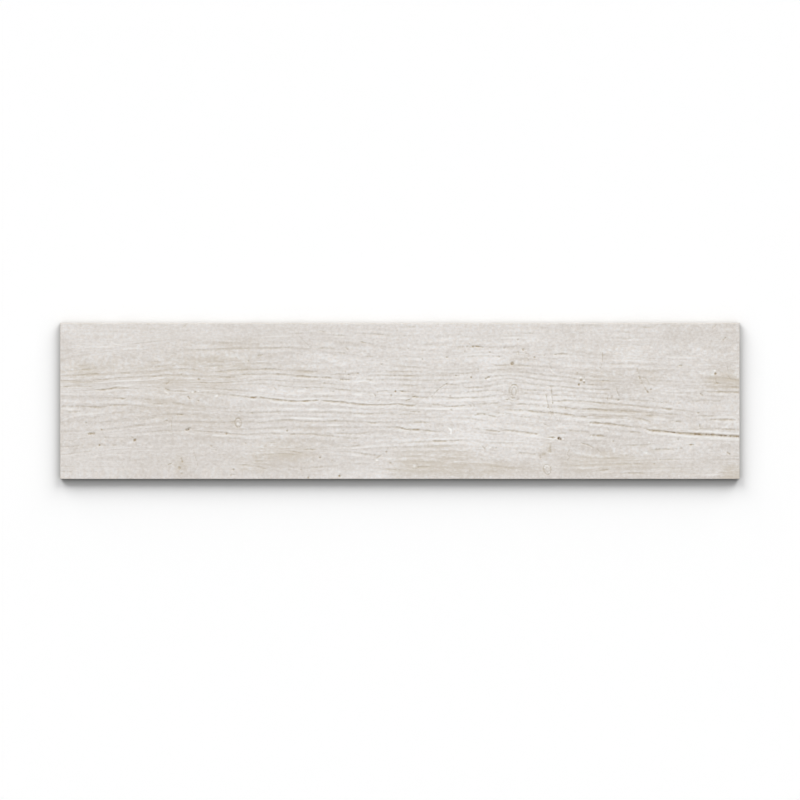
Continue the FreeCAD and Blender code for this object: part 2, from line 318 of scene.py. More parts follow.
    (0.3, 55, -35, 67, -35.8, 77, -35.3), (0.4, 117, -45.8, 127, -47.5),
    (0.5, 127, -47.5, 137, -49.1, 147, -49.2), (0.85, 48, -58.7, 58, -58.8, 70, -58.4),
    (0.5, 70, -58.4, 82, -58), (0.6, 82, -58, 92, -57.5, 97, -58), (0.4, 0, -62, 10, -60.8, 20, -60),
    (0.5, 20, -60, 36, -59.8), (0.4, 133, -60.8, 153, -62, 167, -61.5, 180, -62),
    (0.2, 0, -67.2, 12, -67, 33, -66.6), (0.42, 33, -66.6, 43, -66.9, 53, -66, 63, -65.7),
    (0.15, 63, -65.7, 73, -64.9, 95, -65.4), (0.1, 3, -74.3, 13, -74.7, 33, -74.8),
    (0.3, 10, -81.5, 28, -80.8), (0.35, 18, -89.3, 28, -89, 48, -90.3),
    (0.65, 26, -96.4, 33, -96.7, 42, -96.4), (0.2, 67, -84.8, 77, -84.1, 97, -85.7),
    (0.2, 83, -94, 95, -93.8, 107, -92.4), (0.2, 67, -97.3, 87, -98.2),
    (0.45, 130, -94, 140, -96, 150, -96.8), (0.38, 150, -97, 158, -98.2, 170, -98.9, 182, -97.5),
    (0.28, 130, -103.2, 143, -103.2), (0.65, 173, -76.3, 183, -76.2, 193, -77.4, 200, -78),
    (0.4, 167, -70.7, 177, -70.7, 188, -72), (0.5, 140, 52, 147, 52.4),
    (0.6, 148, 52.6, 153, 53, 159, 52.8), (0.5, 172, 53.2, 178, 52.5), (0.6, 178, 52.4, 193, 51.8),
    (0.35, 203, 50.5, 217, 50.3), (0.35, 140, 46, 153, 46.4, 160, 46.1),
    (0.2, 173, 62.5, 183, 62, 193, 61.7),
    # beyond the knot
    (0.15, 250, 58, 260, 57, 280, 56.2, 300, 55.3), (0.4, 307, 55.5, 317, 54.7, 330, 55),
    (0.45, 335, 55.2, 345, 55.8, 352, 55.2), (0.15, 352, 55, 370, 54, 380, 53.7),
    (0.5, 258, 39, 268, 38.8, 276, 38.2), (0.65, 280, 36.6, 286, 35.8, 294, 34.9),
    (0.5, 290, 30.2, 300, 30.3, 310, 29.8), (0.45, 276, 24.3, 285, 24.2, 293, 23.7),
    (0.5, 268, 19.1, 278, 17.6), (0.55, 278, 17.5, 288, 17, 310, 17),
    (0.4, 260, 13.1, 270, 12, 280, 10.8), (0.5, 280, 10.7, 290, 10.3, 300, 10.7),
    (0.3, 300, 10.8, 310, 11.3, 322, 11.7), (0.35, 260, 7.5, 270, 6.7, 280, 5.8),
    (0.45, 280, 5.8, 290, 4.7, 300, 4.2, 310, 3.3), (0.3, 312, 3.2, 320, 2.7, 331, 3.4),
    (0.3, 331, 3.5, 340, 4.7, 350, 5.3, 362, 5.8), (0.5, 272, -0.4, 280, -0.8, 287, -1.5),
    (0.78, 289, -1.8, 297, -2.6, 305, -3.1, 313, -3.8, 322, -4.7), (0.3, 324, -4.6, 330, -5, 340, -5.8),
    (0.6, 340, -5.8, 350, -7, 358, -8.3), (0.65, 358, -8.4, 367, -9.2, 373, -9.4),
    (0.6, 383, -8.5, 388, -10), (0.85, 388, -10.2, 393, -11.2, 401, -11.8), (0.35, 330, 2, 350, 1.7),
    (0.7, 350, 1.6, 358, 0.8, 367, 0), (0.45, 374, -0.9, 382, -1.8, 390, -2.1, 400, -2.5),
    (0.75, 252, -10.9, 260, -11.3), (0.7, 260, -11.4, 270, -12),
    (0.86, 270, -11.8, 280, -11.6, 290, -12, 300, -13), (0.72, 300, -13.3, 310, -13.8, 320, -14.7),
    (0.62, 324, -14.4, 330, -14.2, 336, -14.8), (0.5, 336, -14.9, 343, -15.1, 350, -15.8),
    (0.6, 350, -15.8, 360, -16.7, 370, -17), (0.45, 372, -17.4, 388, -18.3),
    (0.6, 388, -18.3, 397, -18.8, 405, -19.7), (0.4, 405, -19.7, 412, -20.8),
    (0.6, 254, -21, 260, -21.7, 268, -22.6, 277, -23.2), (0.75, 278, -20.8, 285, -21, 291, -21.8),
    (0.52, 291, -21.9, 300, -23, 308, -23.6), (0.45, 308, -23.5, 318, -23.2, 328, -22.6),
    (0.35, 328, -22.6, 338, -23.3, 347, -25), (0.65, 347, -25, 357, -26.4, 365, -28.4, 370, -31),
    (0.75, 364, -21, 371, -21.4, 378, -21.6), (0.55, 378, -21.8, 384, -22.4),
    (0.55, 388, -23.8, 400, -25.4), (0.8, 400, -29, 408, -29.6, 416, -29.9),
    (0.98, 280, -31.2, 290, -31.9, 297, -32.5), (0.88, 297, -32.6, 305, -33.1, 313, -33.6, 322, -34.9),
    (0.8, 322, -35.3, 331, -36.2), (0.6, 331, -36.6, 340, -37.8, 350, -38.6),
    (0.5, 350, -38, 358, -38.6, 365, -40.4), (0.55, 248, -42.9, 255, -43.2),
    (0.6, 255, -43.3, 262, -44.2, 270, -45, 281, -45.6),
    (0.88, 281, -49.6, 288, -50.4, 294, -50.5, 302, -51.6), (0.65, 236, -47.2, 248, -47.5),
    (0.6, 340, -45.2, 347, -45.1, 355, -46.5), (0.75, 457, -27, 463, -26.8),
    (0.85, 463, -26.8, 472, -27, 483, -27.1, 490, -27.2, 496, -28), (0.55, 464, -40.4, 475, -41),
    (0.62, 475, -41.2, 487, -41.4, 505, -42.2), (0.35, 402, -12, 417, -13.3, 427, -14.7, 433, -16.5),
    (0.7, 445, -21.3, 455, -22, 463, -21.7), (0.45, 428, 0.2, 442, 0.3),
    (0.5, 447, 1, 454, 1.2, 460, 0.4), (0.35, 460, 0.3, 475, 0.3),
    (0.1, 446, 8.9, 450, 8.2, 458, 6.7, 468, 5.6, 480, 5.2), (0.45, 448, 15.2, 455, 14, 460, 13.4),
    (0.72, 460, 13.4, 470, 13.8, 477, 14.2, 484, 13.4, 505, 13),
    (0.12, 430, 18.5, 455, 20.4, 467, 19.8, 488, 20.4), (0.65, 487, 20.8, 495, 20.6, 505, 20.6),
    (0.5, 450, 33.3, 462, 33.4), (0.3, 462, 33.4, 473, 34.2, 483, 33.3),
    (0.5, 483, 33.3, 492, 32, 505, 29.5), (0.45, 450, 28.3, 460, 27.2), (0.6, 464, 26.8, 475, 25.8),
    (0.45, 448, 23, 458, 22.6), (0.35, 380, 30, 390, 30, 409, 28.7),
    (0.05, 400, 22.5, 420, 22, 440, 22.5),
    (0.2, 370, 6.7, 380, 7.5, 392, 6.7, 417, 5.3, 430, 4.7, 440, 5.3),
    (0.04, 373, 14.7, 383, 13.3, 407, 12), (0.3, 407, 12, 436, 12.4),
    (0.25, 365, 44, 375, 44.3, 385, 44.2),
    # the stained foot at the right
    (0.35, 328, -65.2, 340, -64.7), (0.62, 340, -64.7, 352, -64.7, 363, -64.3, 373, -62.6),
    (0.68, 370, -71.7, 380, -71, 390, -70.7, 400, -70.8), (0.45, 400, -70.7, 410, -69.7, 417, -69),
    (0.4, 298, -75, 310, -74.3), (0.3, 250, -93.7, 257, -94.7, 267, -94.7, 277, -95.6),
    (0.28, 280, -94, 292, -93.6), (0.48, 318, -92.4, 328, -92.3, 337, -91.8),
    (0.38, 343, -91.9, 350, -92.4, 357, -91.8), (0.28, 373, -98.4, 383, -98, 393, -98.5),
    (0.4, 392, -98.4, 403, -98.5, 415, -98), (0.75, 330, -106, 340, -106),
    (0.6, 340, -106, 350, -105.3, 360, -106), (0.8, 293, -102.3, 300, -101.5, 307, -100.5),
    (0.42, 293, -97.5, 300, -99, 308, -98.5), (0.65, 390, -86, 400, -85.3, 410, -85.7),
    (0.45, 331, -79.4, 339, -79.4), (0.45, 303, -84.6, 313, -84.8, 322, -82.9),
    (0.4, 489, -81, 505, -81.4), (0.3, 478, -66.2, 492, -66), (0.3, 472, -86, 483, -85.2, 500, -85.2),
    # pale bands
    (-0.58, -446, 27, -435, 28, -420, 29.5, -400, 30.5, -378, 30.6),
    (-0.7, -420, 23.3, -405, 23.4, -392, 24), (-0.03, -442, 12.5, -425, 14, -405, 14.5),
    (-0.55, -478, -20.5, -455, -18.5, -437, -17), (-0.6, -500, -11, -480, -11.5),
    (-0.3, -366, -27.2, -349, -26.5), (-0.6, -275, -50, -250, -51), (-0.5, -290, 16, -275, 15.5),
    (-0.5, -313, 33.5, -303, 33.5), (-0.4, -210, 17, -195, 17), (-0.65, -148, 15.7, -140, 15.5),
    (-0.55, -165, 11.2, -154, 11), (-0.5, -125, 11, -100, 12), (-0.75, -66, 10.4, -56, 11),
    (-0.6, -70, 28, -60, 29.6, -50, 31.8), (-0.65, -172, -10.5, -155, -11.3),
    (-0.65, -134, -12, -120, -12), (-0.7, -101, -12, -82, -12.5), (-0.55, -63, -22, -51, -22.5),
    (-0.9, -162, -24.3, -115, -26), (-0.8, -105, -35, -88, -35), (-0.1, -106, -43, -88, -43),
    (-0.4, -186, -43, -172, -43.5), (-0.25, -226, -53.5, -204, -54), (-0.2, -95, -58, -70, -60),
    (-0.8, 0, 5, 15, 4.5), (-0.05, 22, 2.3, 40, 1.2, 62, 1.6),
    (-0.38, 66, 0.6, 100, 1.5, 125, 2, 148, 3.5), (-0.3, 80, 8.5, 100, 8),
    (-0.12, 112, 11, 130, 11.5, 150, 12), (-0.7, 26, -10, 60, -11, 102, -10.5),
    (-0.3, 86, -29.5, 104, -30), (-0.65, 163, -16.5, 178, -17.2, 192, -17.5, 205, -20),
    (-0.55, 180, -9, 205, -10.5, 235, -13), (-0.08, 180, 24.8, 190, 21.8, 203, 19.8, 222, 19),
    (-0.1, 130, 32, 140, 33, 146, 33.8), (-0.15, 128, 39.5, 150, 41.5, 170, 41.2, 185, 39),
    (-0.5, 142, 22, 152, 23.5, 158, 25.5), (-0.2, 182, 8, 200, 6.8, 225, 5.5),
    (-0.25, 182, 0.8, 200, -1, 240, -4), (-0.45, 228, -3.9, 260, -5, 283, -6.8),
    (-0.25, 255, -7, 285, -8.6, 310, -9.5, 330, -8),
    (-0.65, 262, -16.5, 285, -16.7, 315, -18, 345, -19.5),
    (-0.75, 250, -24, 275, -27, 300, -27.5, 335, -27), (-0.6, 370, -25, 385, -26.5, 398, -28),
    (-0.3, 455, -24.4, 475, -23.6, 495, -24.6), (0.15, 385, -41.3, 405, -42, 430, -44),
    (-0.12, 440, -44.2, 470, -45.2, 500, -46.7), (-0.35, 160, -46.5, 185, -49.5, 205, -52),
    (-0.45, 345, 51.5, 335, 51.8, 328, 51.8), (-0.5, -35, -65.3, -55, -67.5, -70, -69.5),
    (-0.45, -72, -78.5, -60, -80), (-0.35, 365, -67, 390, -67, 410, -65.5),
    (-0.2, 262, -75, 272, -77.5, 280, -79.8, 290, -82), (-0.3, 255, -98, 270, -98.5, 290, -97),
    (-0.5, 375, -75.5, 395, -74.6, 410, -73.5), (-0.25, -200, 94.5, -185, 95.5, -168, 95.5),
    (-0.45, 155, 93.5, 180, 94), (-0.4, -442, 80.3, -430, 80), (-0.18, -406, 77.2, -388, 77.8),
    (-0.4, 395, 65, 415, 64), (-0.4, 20, 62, 32, 62.5), (-0.45, 452, -108.3, 470, -108),
    (-0.4, -250, 66, -240, 65.5), (-0.2, 475, 105.5, 492, 106),
]

cracks = [
    # the long one that wanders across the middle
    (0.75, 1.8, -250, 9.2, -240, 8, -234, 7.4), (0.85, 2, -234, 7.2, -228, 6.6, -222, 5.8),
    (1, 2.3, -221, 5.9, -217, 5.5, -212, 5.6, -209.5, 8.3), (0.8, 1.9, -206.5, 6.6, -203, 5.4, -199, 4.7),
    (0.88, 2.3, -198, 4.5, -192, 3.6, -185, 2.6, -175, 1.6, -165, 0.7),
    (0.78, 2.1, -165, 0.7, -155, 0, -150, 0), (1, 1.9, -150, 0, -138, 0.3, -126, 1.2, -119, 1.9),
    (0.8, 1.8, -114, 1, -105, -0.3), (1.1, 2.5, -104, 0, -99, -0.4, -94, -0.7, -91.5, 1.4),
    (1, 2.9, -90, -0.9, -83, -1.6, -79, -2),
    (0.9, 2.2, -79, -2.3, -72, -3.2, -62, -4.3, -52, -5.1, -40, -5.5),
    (0.85, 2, -42, -5.5, -30, -5.4, -19, -4.9), (0.85, 2, -16.5, -5.2, -11, -4.8, -6.5, -4.2),
    (0.8, 1.9, -3, -3.9, 4.5, -5), (1.05, 2.2, 7, -5.6, 13, -6.5, 20, -6.6, 23.5, -4.8),
    # the left end
    (0.45, 2.1, -505, -7, -487, -7.4, -473, -7.4, -460, -8.1),
    (0.62, 2.4, -460, -8.1, -448.5, -8.7, -440, -8.9, -434.5, -7.9),
    (0.6, 2.1, -428, -6.2, -420, -5.8, -410, -5.9, -402, -5.4),
    # below the middle
    (1, 2, -4, -37.6, 3, -39.4, 10.5, -41.6), (0.95, 2.2, 12, -41.4, 20, -41.7, 26, -41.8, 33, -42.1),
    (0.8, 1.9, 34, -42.6, 42, -43.4, 50, -44.3), (0.45, 1.6, 52, -44.6, 62, -44.9),
    (0.65, 1.8, 110, -39.8, 118, -41.6), (0.9, 2, 124, -42, 131, -43, 141, -44, 149, -45.2),
    (0.72, 2.4, 153.5, -42.8, 163, -43.2, 171, -44.3, 180, -45.6),
    (0.92, 2.4, 180, -45.1, 187, -46, 194, -47.1, 204, -48.3), (1, 2, 219, -53, 229, -53.4),
    # the widest one, which runs out through the right end
    (0.95, 2.6, 365, -41.8, 371, -43.2, 379, -43.5, 388, -44.2, 397, -45.1),
    (1.15, 3.3, 392, -44.5, 402, -45.8, 410, -46.4, 425, -47.5, 440, -48.6, 455, -49.1, 470, -50, 485,
     -51, 500, -52, 530, -54),
]

# Nicks, splits and scratches: tone, width and then the places that they pass through
nicks = [
    (0.85, 4, -458, -47.8, -451, -47), (0.5, 1.6, -396, -52.5, -392, -55),
    (0.65, 2.2, -341, -93, -337, -91.5), (0.75, 1.9, -345.5, 18.5, -339.5, 16.2),
    (0.6, 2.4, -340, 28.5, -344, 25.5), (0.95, 2.4, -312, 6.8, -309.8, 3.8),
    (1.05, 4, -314.5, -42, -309.5, -40), (0.75, 2.6, -322, -84, -320.5, -89),
    (0.65, 1.9, -185.5, 21, -182.5, 17.5), (0.8, 2, -38.5, 10.8, -35.5, 8.3),
    (0.65, 1.6, -34, -83, -28, -80, -24.5, -77.2), (0.6, 2.2, -58, 87.4, -50.5, 86.3),
    (0.5, 2.2, -79.5, 79.5, -76, 75.6), (0.45, 2, -118, 103.8, -112, 102.5),
    (0.35, 2.6, -48, 66, -41, 65.6), (0.5, 2.2, -209, 67, -202, 68.4), (0.9, 3, 126.5, 33.2, 133, 36),
    (0.9, 2.6, 112.8, 80.5, 117, 80.2), (0.6, 2, 117, 80.2, 122.5, 79.4),
    (0.85, 2.2, 9.3, 0.8, 13.8, 2.3), (0.45, 1.3, 13.8, 2.3, 19, 5.7), (0.8, 2, 19, 5.7, 23.5, 7.5),
    (0.65, 1.4, 46.8, 6.3, 50.5, 10.5, 54, 14.5), (0.85, 1.8, 54, 14.5, 57, 17.4),
    (0.6, 1.4, 57, 17.4, 62.5, 21.8, 66, 23.8), (0.8, 1.8, 66, 23.8, 70, 26.3),
    (0.7, 2.6, 174.5, 73, 175.5, 69), (0.6, 1.3, 219.8, 54.8, 224, 47, 228, 43.5),
    (0.55, 2, 223.3, 20, 224.3, 8, 225.6, -3), (0.55, 2, 215.6, 10, 217.3, 0, 219.6, -8),
    (0.6, 2, 219.6, -8, 224, -21.5), (0.4, 1.3, 235, -24, 236.5, -31),
    (0.6, 1.3, 299.3, 72, 299, 60, 296.8, 49), (0.65, 1.3, 306.8, 9, 306.3, 2),
    (0.65, 1.3, 313, 8, 312, 2.5), (0.55, 1.4, 318.8, 21, 321, 13, 323.3, 7.5),
    (0.35, 1.2, 305, -37, 310, -46), (0.4, 1.2, 203, -22, 208, -26), (0.4, 1.4, 212, -33, 219, -37),
    (0.5, 1.4, 100, -3, 106, -8), (0.5, 1.4, 107, -3, 110, -8), (0.5, 1.4, 121, -65, 126, -71),
    (0.5, 1.4, 129.5, -64, 125, -69), (0.95, 3.2, 352.8, 37.5, 354.5, 33.6),
    (0.45, 1.4, 355, 35, 363, 33.5, 368, 24), (0.85, 2.4, 361.2, 20, 362.5, 17.5),
    (0.9, 2.8, 364, 15.8, 366.3, 13), (0.9, 3, 412.3, 52.5, 415.3, 52.3),
    (0.95, 2.6, 443.8, 11.2, 446.2, 9.2), (1, 2.6, 428, -64, 433, -63.8),
    (0.8, 1.9, 442, -34.5, 442.8, -39.8), (0.75, 1.8, 476.8, 90, 480.5, 93.8),
    (0.35, 1.4, 485, 40, 483, 50, 480, 58), (0.4, 1.4, 461, 107, 467, 113),
    (0.4, 1.4, -321, 108, -313.5, 114), (0.8, 2.2, 483, -75, 486.5, -78),
    (0.7, 1.7, 267.5, -61.6, 278, -64.5, 285, -68.5), (0.55, 1.6, 291, -70.5, 297, -76.5),
    (0.4, 1.5, 250, -72, 247, -78, 250, -82, 247, -87), (1.35, 4.6, 234.8, -54.6, 237, -55.4),
    (0.5, 1.5, 350, 50, 352, 42, 355, 34, 358, 26, 362, 18), (0.55, 2.2, 484.5, 37, 488, 32),
    (0.55, 1.8, 466, 33, 466.5, 28.5, 470, 26.3),
    (0.4, 1.3, -335, -22, -336.5, -30, -337, -40, -334, -49), (0.4, 1.3, -305, -71, -301, -82, -298, -96),
    (0.35, 1.3, -148, 95, -131, 78), (0.45, 1.6, -208, -33, -203, -30), (0.4, 1.2, 15, -42.5, 14.5, -49),
    # the arch over the knot and its two sides
    (0.5, 1.9, 161.6, 17.2, 162.6, 20, 164.6, 22.6),
    (0.75, 2.3, 165.2, 23.3, 167, 24.3, 169, 24.6, 171.4, 23.8),
    (0.5, 1.9, 172, 23.4, 173.6, 21.4, 174.3, 17, 174.2, 12),
    (0.42, 1.7, 161.5, 16.5, 161.4, 13, 162.8, 9.5), (0.35, 2, 160, 4, 164, 1.6, 169, 1.2, 175, 3.2),
    (0.5, 2.2, 212.4, -98, 213, -102.5, 215.8, -106.2), (0.6, 5.2, 221.4, -71.4, 221.1, -73.6),
    (0.4, 3.4, 222.3, -63.4, 221.8, -68), (0.3, 3.4, 206.5, -81, 209, -78.5, 214, -77.5),
    (0.75, 2.6, -327.5, -19.9, -320.5, -19.9), (0.7, 2.8, -87, 31.8, -75, 31.6),
    (0.55, 4.2, 165.3, 4.8, 168, 5.2), (0.5, 2.4, 163.6, 12.4, 164.3, 12),
    (0.6, 2.6, 157.3, 2.2, 158.3, 2.2),
    # pale chips and brushed-out spots
    (-0.85, 2.6, 72.8, -39, 76.3, -42.3, 75.6, -47), (0.35, 2.2, 223, -8, 225, -15, 226, -21),
    (-0.12, 6, 116, -33, 122, -41), (-0.35, 3, -346, 15.5, -341, 12), (-0.2, 4, -487, -11, -480, -10.5),
    (-0.25, 4, -149, 15.5, -142, 16), (-0.25, 4, -63, 10.2, -57, 10.6),
    (-0.12, 2.8, -68.5, 27, -60, 29.6, -50.5, 30.8), (-0.25, 2.6, -412, 21.5, -404, 23),
    (-0.22, 2.4, -425, 88, -420.5, 84.8, -412, 83.4),
]

# A pit is its place across and up, its width and its tone
pits = [
    (-463, -31.5, 3.6, 0.55), (-461, -36, 2.2, 0.4), (-439.5, -41.8, 2.8, 0.7), (-434, -53.5, 2.6, 0.4),
    (-442.5, -64.7, 3.2, 0.85), (-391, -56.3, 5.2, 1.15), (-343.5, -28.5, 3, 0.95),
    (-322, 39.5, 2.2, 0.6), (-296.5, 32.5, 2.8, 0.85), (-301.5, 13.7, 2.4, 0.75), (-297, 0.5, 2.6, 0.7),
    (-255.5, -47.6, 3.4, 0.8), (-277.5, -65.8, 3, 0.45), (-271, -72, 2.2, 0.4), (-218, -17.5, 2.4, 0.55),
    (-236, -15, 2.2, 0.5), (-227, -61.5, 2.6, 0.5), (-245, -100.7, 2.8, 0.5), (-248, -108.5, 3, 0.6),
    (-325, -98, 5, 0.6), (-321.5, -106, 3.5, 0.7), (-331, -95, 4, 0.35), (-223, 59.5, 2.8, 0.65),
    (-166, -43.5, 2.8, 0.6), (-83.2, -43, 2.6, 0.55), (-98, 14.3, 2.8, 0.55), (-112, 26.5, 2.8, 0.6),
    (-137.5, 19.5, 2.6, 0.5), (-75.6, 39, 2.8, 0.75), (-61.8, 41, 2.8, 0.6), (-80, 43, 1.8, 0.4),
    (-27, 54, 2.4, 0.4), (-19.5, 15.3, 2.2, 0.6), (-6.3, 14.6, 3, 0.9), (-13, 8.7, 3.8, 0.6),
    (-33, 13.5, 2.2, 0.6), (-30, 1, 1.8, 0.45), (3.5, 14.3, 3, 0.7), (-117.7, -82.8, 3, 0.9),
    (-135, -112, 3.2, 0.9), (-145.5, -100.5, 2.4, 0.4), (-100, -87, 2.2, 0.4), (-88.8, -109.8, 3.4, 0.9),
    (-19.8, -74.5, 2.6, 0.7), (-13.8, -90.8, 3, 0.6), (-5.5, -67.5, 2.6, 0.55), (-37, -79.5, 2.2, 0.5),
    (-128, -87, 2.2, 0.4), (-83, 71, 2.4, 0.4), (12.7, 77.7, 2.8, 0.6), (33.5, 62, 2.4, 0.55),
    (69.7, 64.6, 2.4, 0.5), (16.5, 43.5, 2, 0.4), (82.8, 37.6, 2.8, 0.7), (105.3, 35.3, 3.2, 0.9),
    (115.8, 47.5, 2.8, 0.6), (99.3, 80.3, 3, 0.8), (107.8, 80.5, 3.4, 1), (95.8, 73.2, 2.8, 0.7),
    (100, 76, 1.8, 0.5), (103, 84, 1.8, 0.45), (93, 80, 1.8, 0.5), (132.7, 72, 2.6, 0.6),
    (146.5, 65, 2.4, 0.5), (154, 78, 2.6, 0.4), (165.7, 55.5, 6.2, 1), (74.2, 7.8, 2.4, 0.5),
    (76, -12.7, 3, 0.4), (94, 14, 2.2, 0.4), (142, -69, 2.6, 0.6), (174, 90, 3, 0.75),
    (182.5, 76, 3.8, 1), (198.5, 64.8, 2.8, 0.7), (189.5, 61, 2.4, 0.6), (212.5, 67.3, 2.6, 0.5),
    (228.8, 68.8, 2.8, 0.6), (267.5, 31, 3.4, 1), (271.8, 27.5, 3, 0.85), (272.3, 35, 2.2, 0.5),
    (264.5, 24.6, 3.4, 1), (261.8, 41.7, 2.2, 0.5), (299.3, 29.7, 2.6, 0.6), (290, 30, 2.2, 0.4),
    (322.5, 1.8, 3.4, 1), (350, 50.3, 2.6, 0.6), (356.3, 26.7, 2.6, 0.6), (370.4, 17.4, 3.4, 1),
    (373.5, 3.3, 2.6, 0.5), (411.3, -3.4, 2.6, 0.45), (465.3, 40.6, 4, 1), (440.3, -16.8, 3, 0.9),
    (410.5, -56.3, 2.8, 0.5), (207.3, -83, 3, 0.4), (219, -8.8, 2.6, 0.7), (244.5, -9.9, 3, 0.7),
    (315, -58.5, 2.6, 0.4), (375.5, -91.8, 2.4, 0.5), (384, -86, 2.4, 0.5), (-239, -38, 3.4, 0.8),
    (166.5, 4.5, 3, 0.6), (27.5, -97, 3.2, 0.6),
    # pale ones
    (-33.5, -86, 3.6, -0.95), (-305, 14, 3, -0.8), (-297, 15, 2.5, -0.6), (-269.5, 8.5, 3.5, -0.7),
    (241, -54.8, 2.8, -0.8), (267, 35.5, 3.2, -0.8), (272, 31.2, 2.6, -0.8), (465, 45.5, 2.8, -0.7),
    (133.5, -67.5, 3, -0.6), (364, -75.5, 3, -0.6), (368, -60.5, 3, -0.5), (214.6, -97.6, 3, -0.6),
    (220, -104, 2.8, -0.6), (295.5, 49.5, 2.8, 0.5), (-238.5, -32.5, 3.6, -0.5), (22, -95, 3.6, -0.2),
]

# A knot's rings are ovals: middle, half width, half height, lean in degrees, tone and line width
knotRings = [
    (168.2, 14, 3.2, 6.2, -6, 0.66, 1.8), (217.3, -100.4, 5.7, 7.4, 12, 0.62, 1.9),
    (217.8, -101, 2.4, 3.6, 25, 0.5, 1.5), (-238.3, -31.5, 4.6, 6.6, 8, 0.68, 1.9),
    (187, 67, 3.6, 3.2, 20, 0.5, 1.5), (22, -95.5, 4.6, 4.4, 0, 0.45, 1.6),
]

# A stain or wash is its middle, its reach along and across the grain, and its strength. A wash
# below 0 is a greyer patch, where less of the white was brushed on.
stains = [
    (-465, 38, 26, 11, 0.48), (-454, 36, 12, 8, 0.3), (-347, 40, 28, 20, 0.45), (-262, 47, 48, 16, 0.58),
    (-270, 18, 30, 13, 0.38), (-345, -14, 45, 12, 0.4), (-292, -30, 30, 18, 0.15),
    (-240, -30, 9, 12, 0.4), (-167, -74, 38, 13, 0.95), (-130, -45, 15, 14, 0.4), (-218, -97, 25, 8, 0.5),
    (-321, -96, 9, 17, 0.75), (-215, -86, 34, 8, 0.35), (190, -99, 26, 7, 0.4), (-155, 52, 40, 12, 0.15),
    (155, 50, 18, 9, 0.3), (55, -85, 55, 22, 0.6), (70, -98, 35, 8, 0.6), (18, -89, 14, 10, 0.5),
    (-144, 40, 12, 10, 0.5), (10, 43, 18, 11, 0.3), (18, 10, 11, 18, 0.35), (178, 62, 16, 16, 0.3),
    (169, 14, 10, 12, 0.25), (283, 36, 30, 11, 0.5), (364, 32, 18, 18, 0.5), (327, -16, 44, 14, 0.5),
    (482, 28, 28, 13, 1.35), (386, -41, 16, 6, 0.4), (441, -45, 16, 8, 0.5), (218, -71, 9, 12, 0.6),
    (309, -89, 52, 15, 0.7), (301, -85, 14, 10, 0.1), (143, -97, 24, 8, 0.75), (106, -85, 20, 8, 0.1),
    (489, -108, 15, 12, 0.9), (-240, 84, 30, 9, 0.25), (106, 84, 22, 7, 0.3), (298, 69, 22, 9, 0.25),
    (-350, 20, 110, 60, 0.12), (310, 5, 30, 35, 0.25), (0, -102, 25, 12, 0.25), (112, -96, 30, 15, 0.1),
    (250, -97, 25, 14, 0.35), (400, -102, 50, 12, 0.22), (-200, 76, 60, 15, 0.18),
    (-270, -45, 40, 20, 0.2), (-140, -98, 40, 10, 0.2), (-395, 56, 36, 9, 0.15), (-300, 62, 30, 9, 0.12),
    (-235, 68, 26, 8, 0.15), (-360, 0, 20, 5, 0.1), (-485, 28, 18, 9, 0.25), (-325, 28, 24, 8, 0.12),
    (75, -78, 24, 7, 0.15), (-160, -55, 22, 7, 0.2), (350, -20, 30, 8, 0.1), (108, -108, 24, 5, 0.15),
    (208, -80, 7, 4, 0.25), (-400, 40, 34, 14, 0.22), (-350, 25, 22, 14, 0.22), (-487, 52, 18, 9, 0.25),
    (-350, -6, 28, 6, 0.2), (-280, 58, 28, 7, 0.2), (-480, 25, 20, 5, 0.25), (-155, -86, 22, 6, 0.18),
    (70, -80, 30, 6, 0.15), (-440, 50, 40, 12, 0.15), (-310, 72, 20, 6, 0.18), (-245, 76, 24, 6, 0.18),
    (25, -100, 30, 7, 0.18), (120, -108, 50, 5, 0.18), (310, -108, 30, 5, 0.15), (420, -108, 60, 6, 0.15),
    (150, 60, 24, 6, 0.12), (480, -104, 16, 8, 0.2),
]

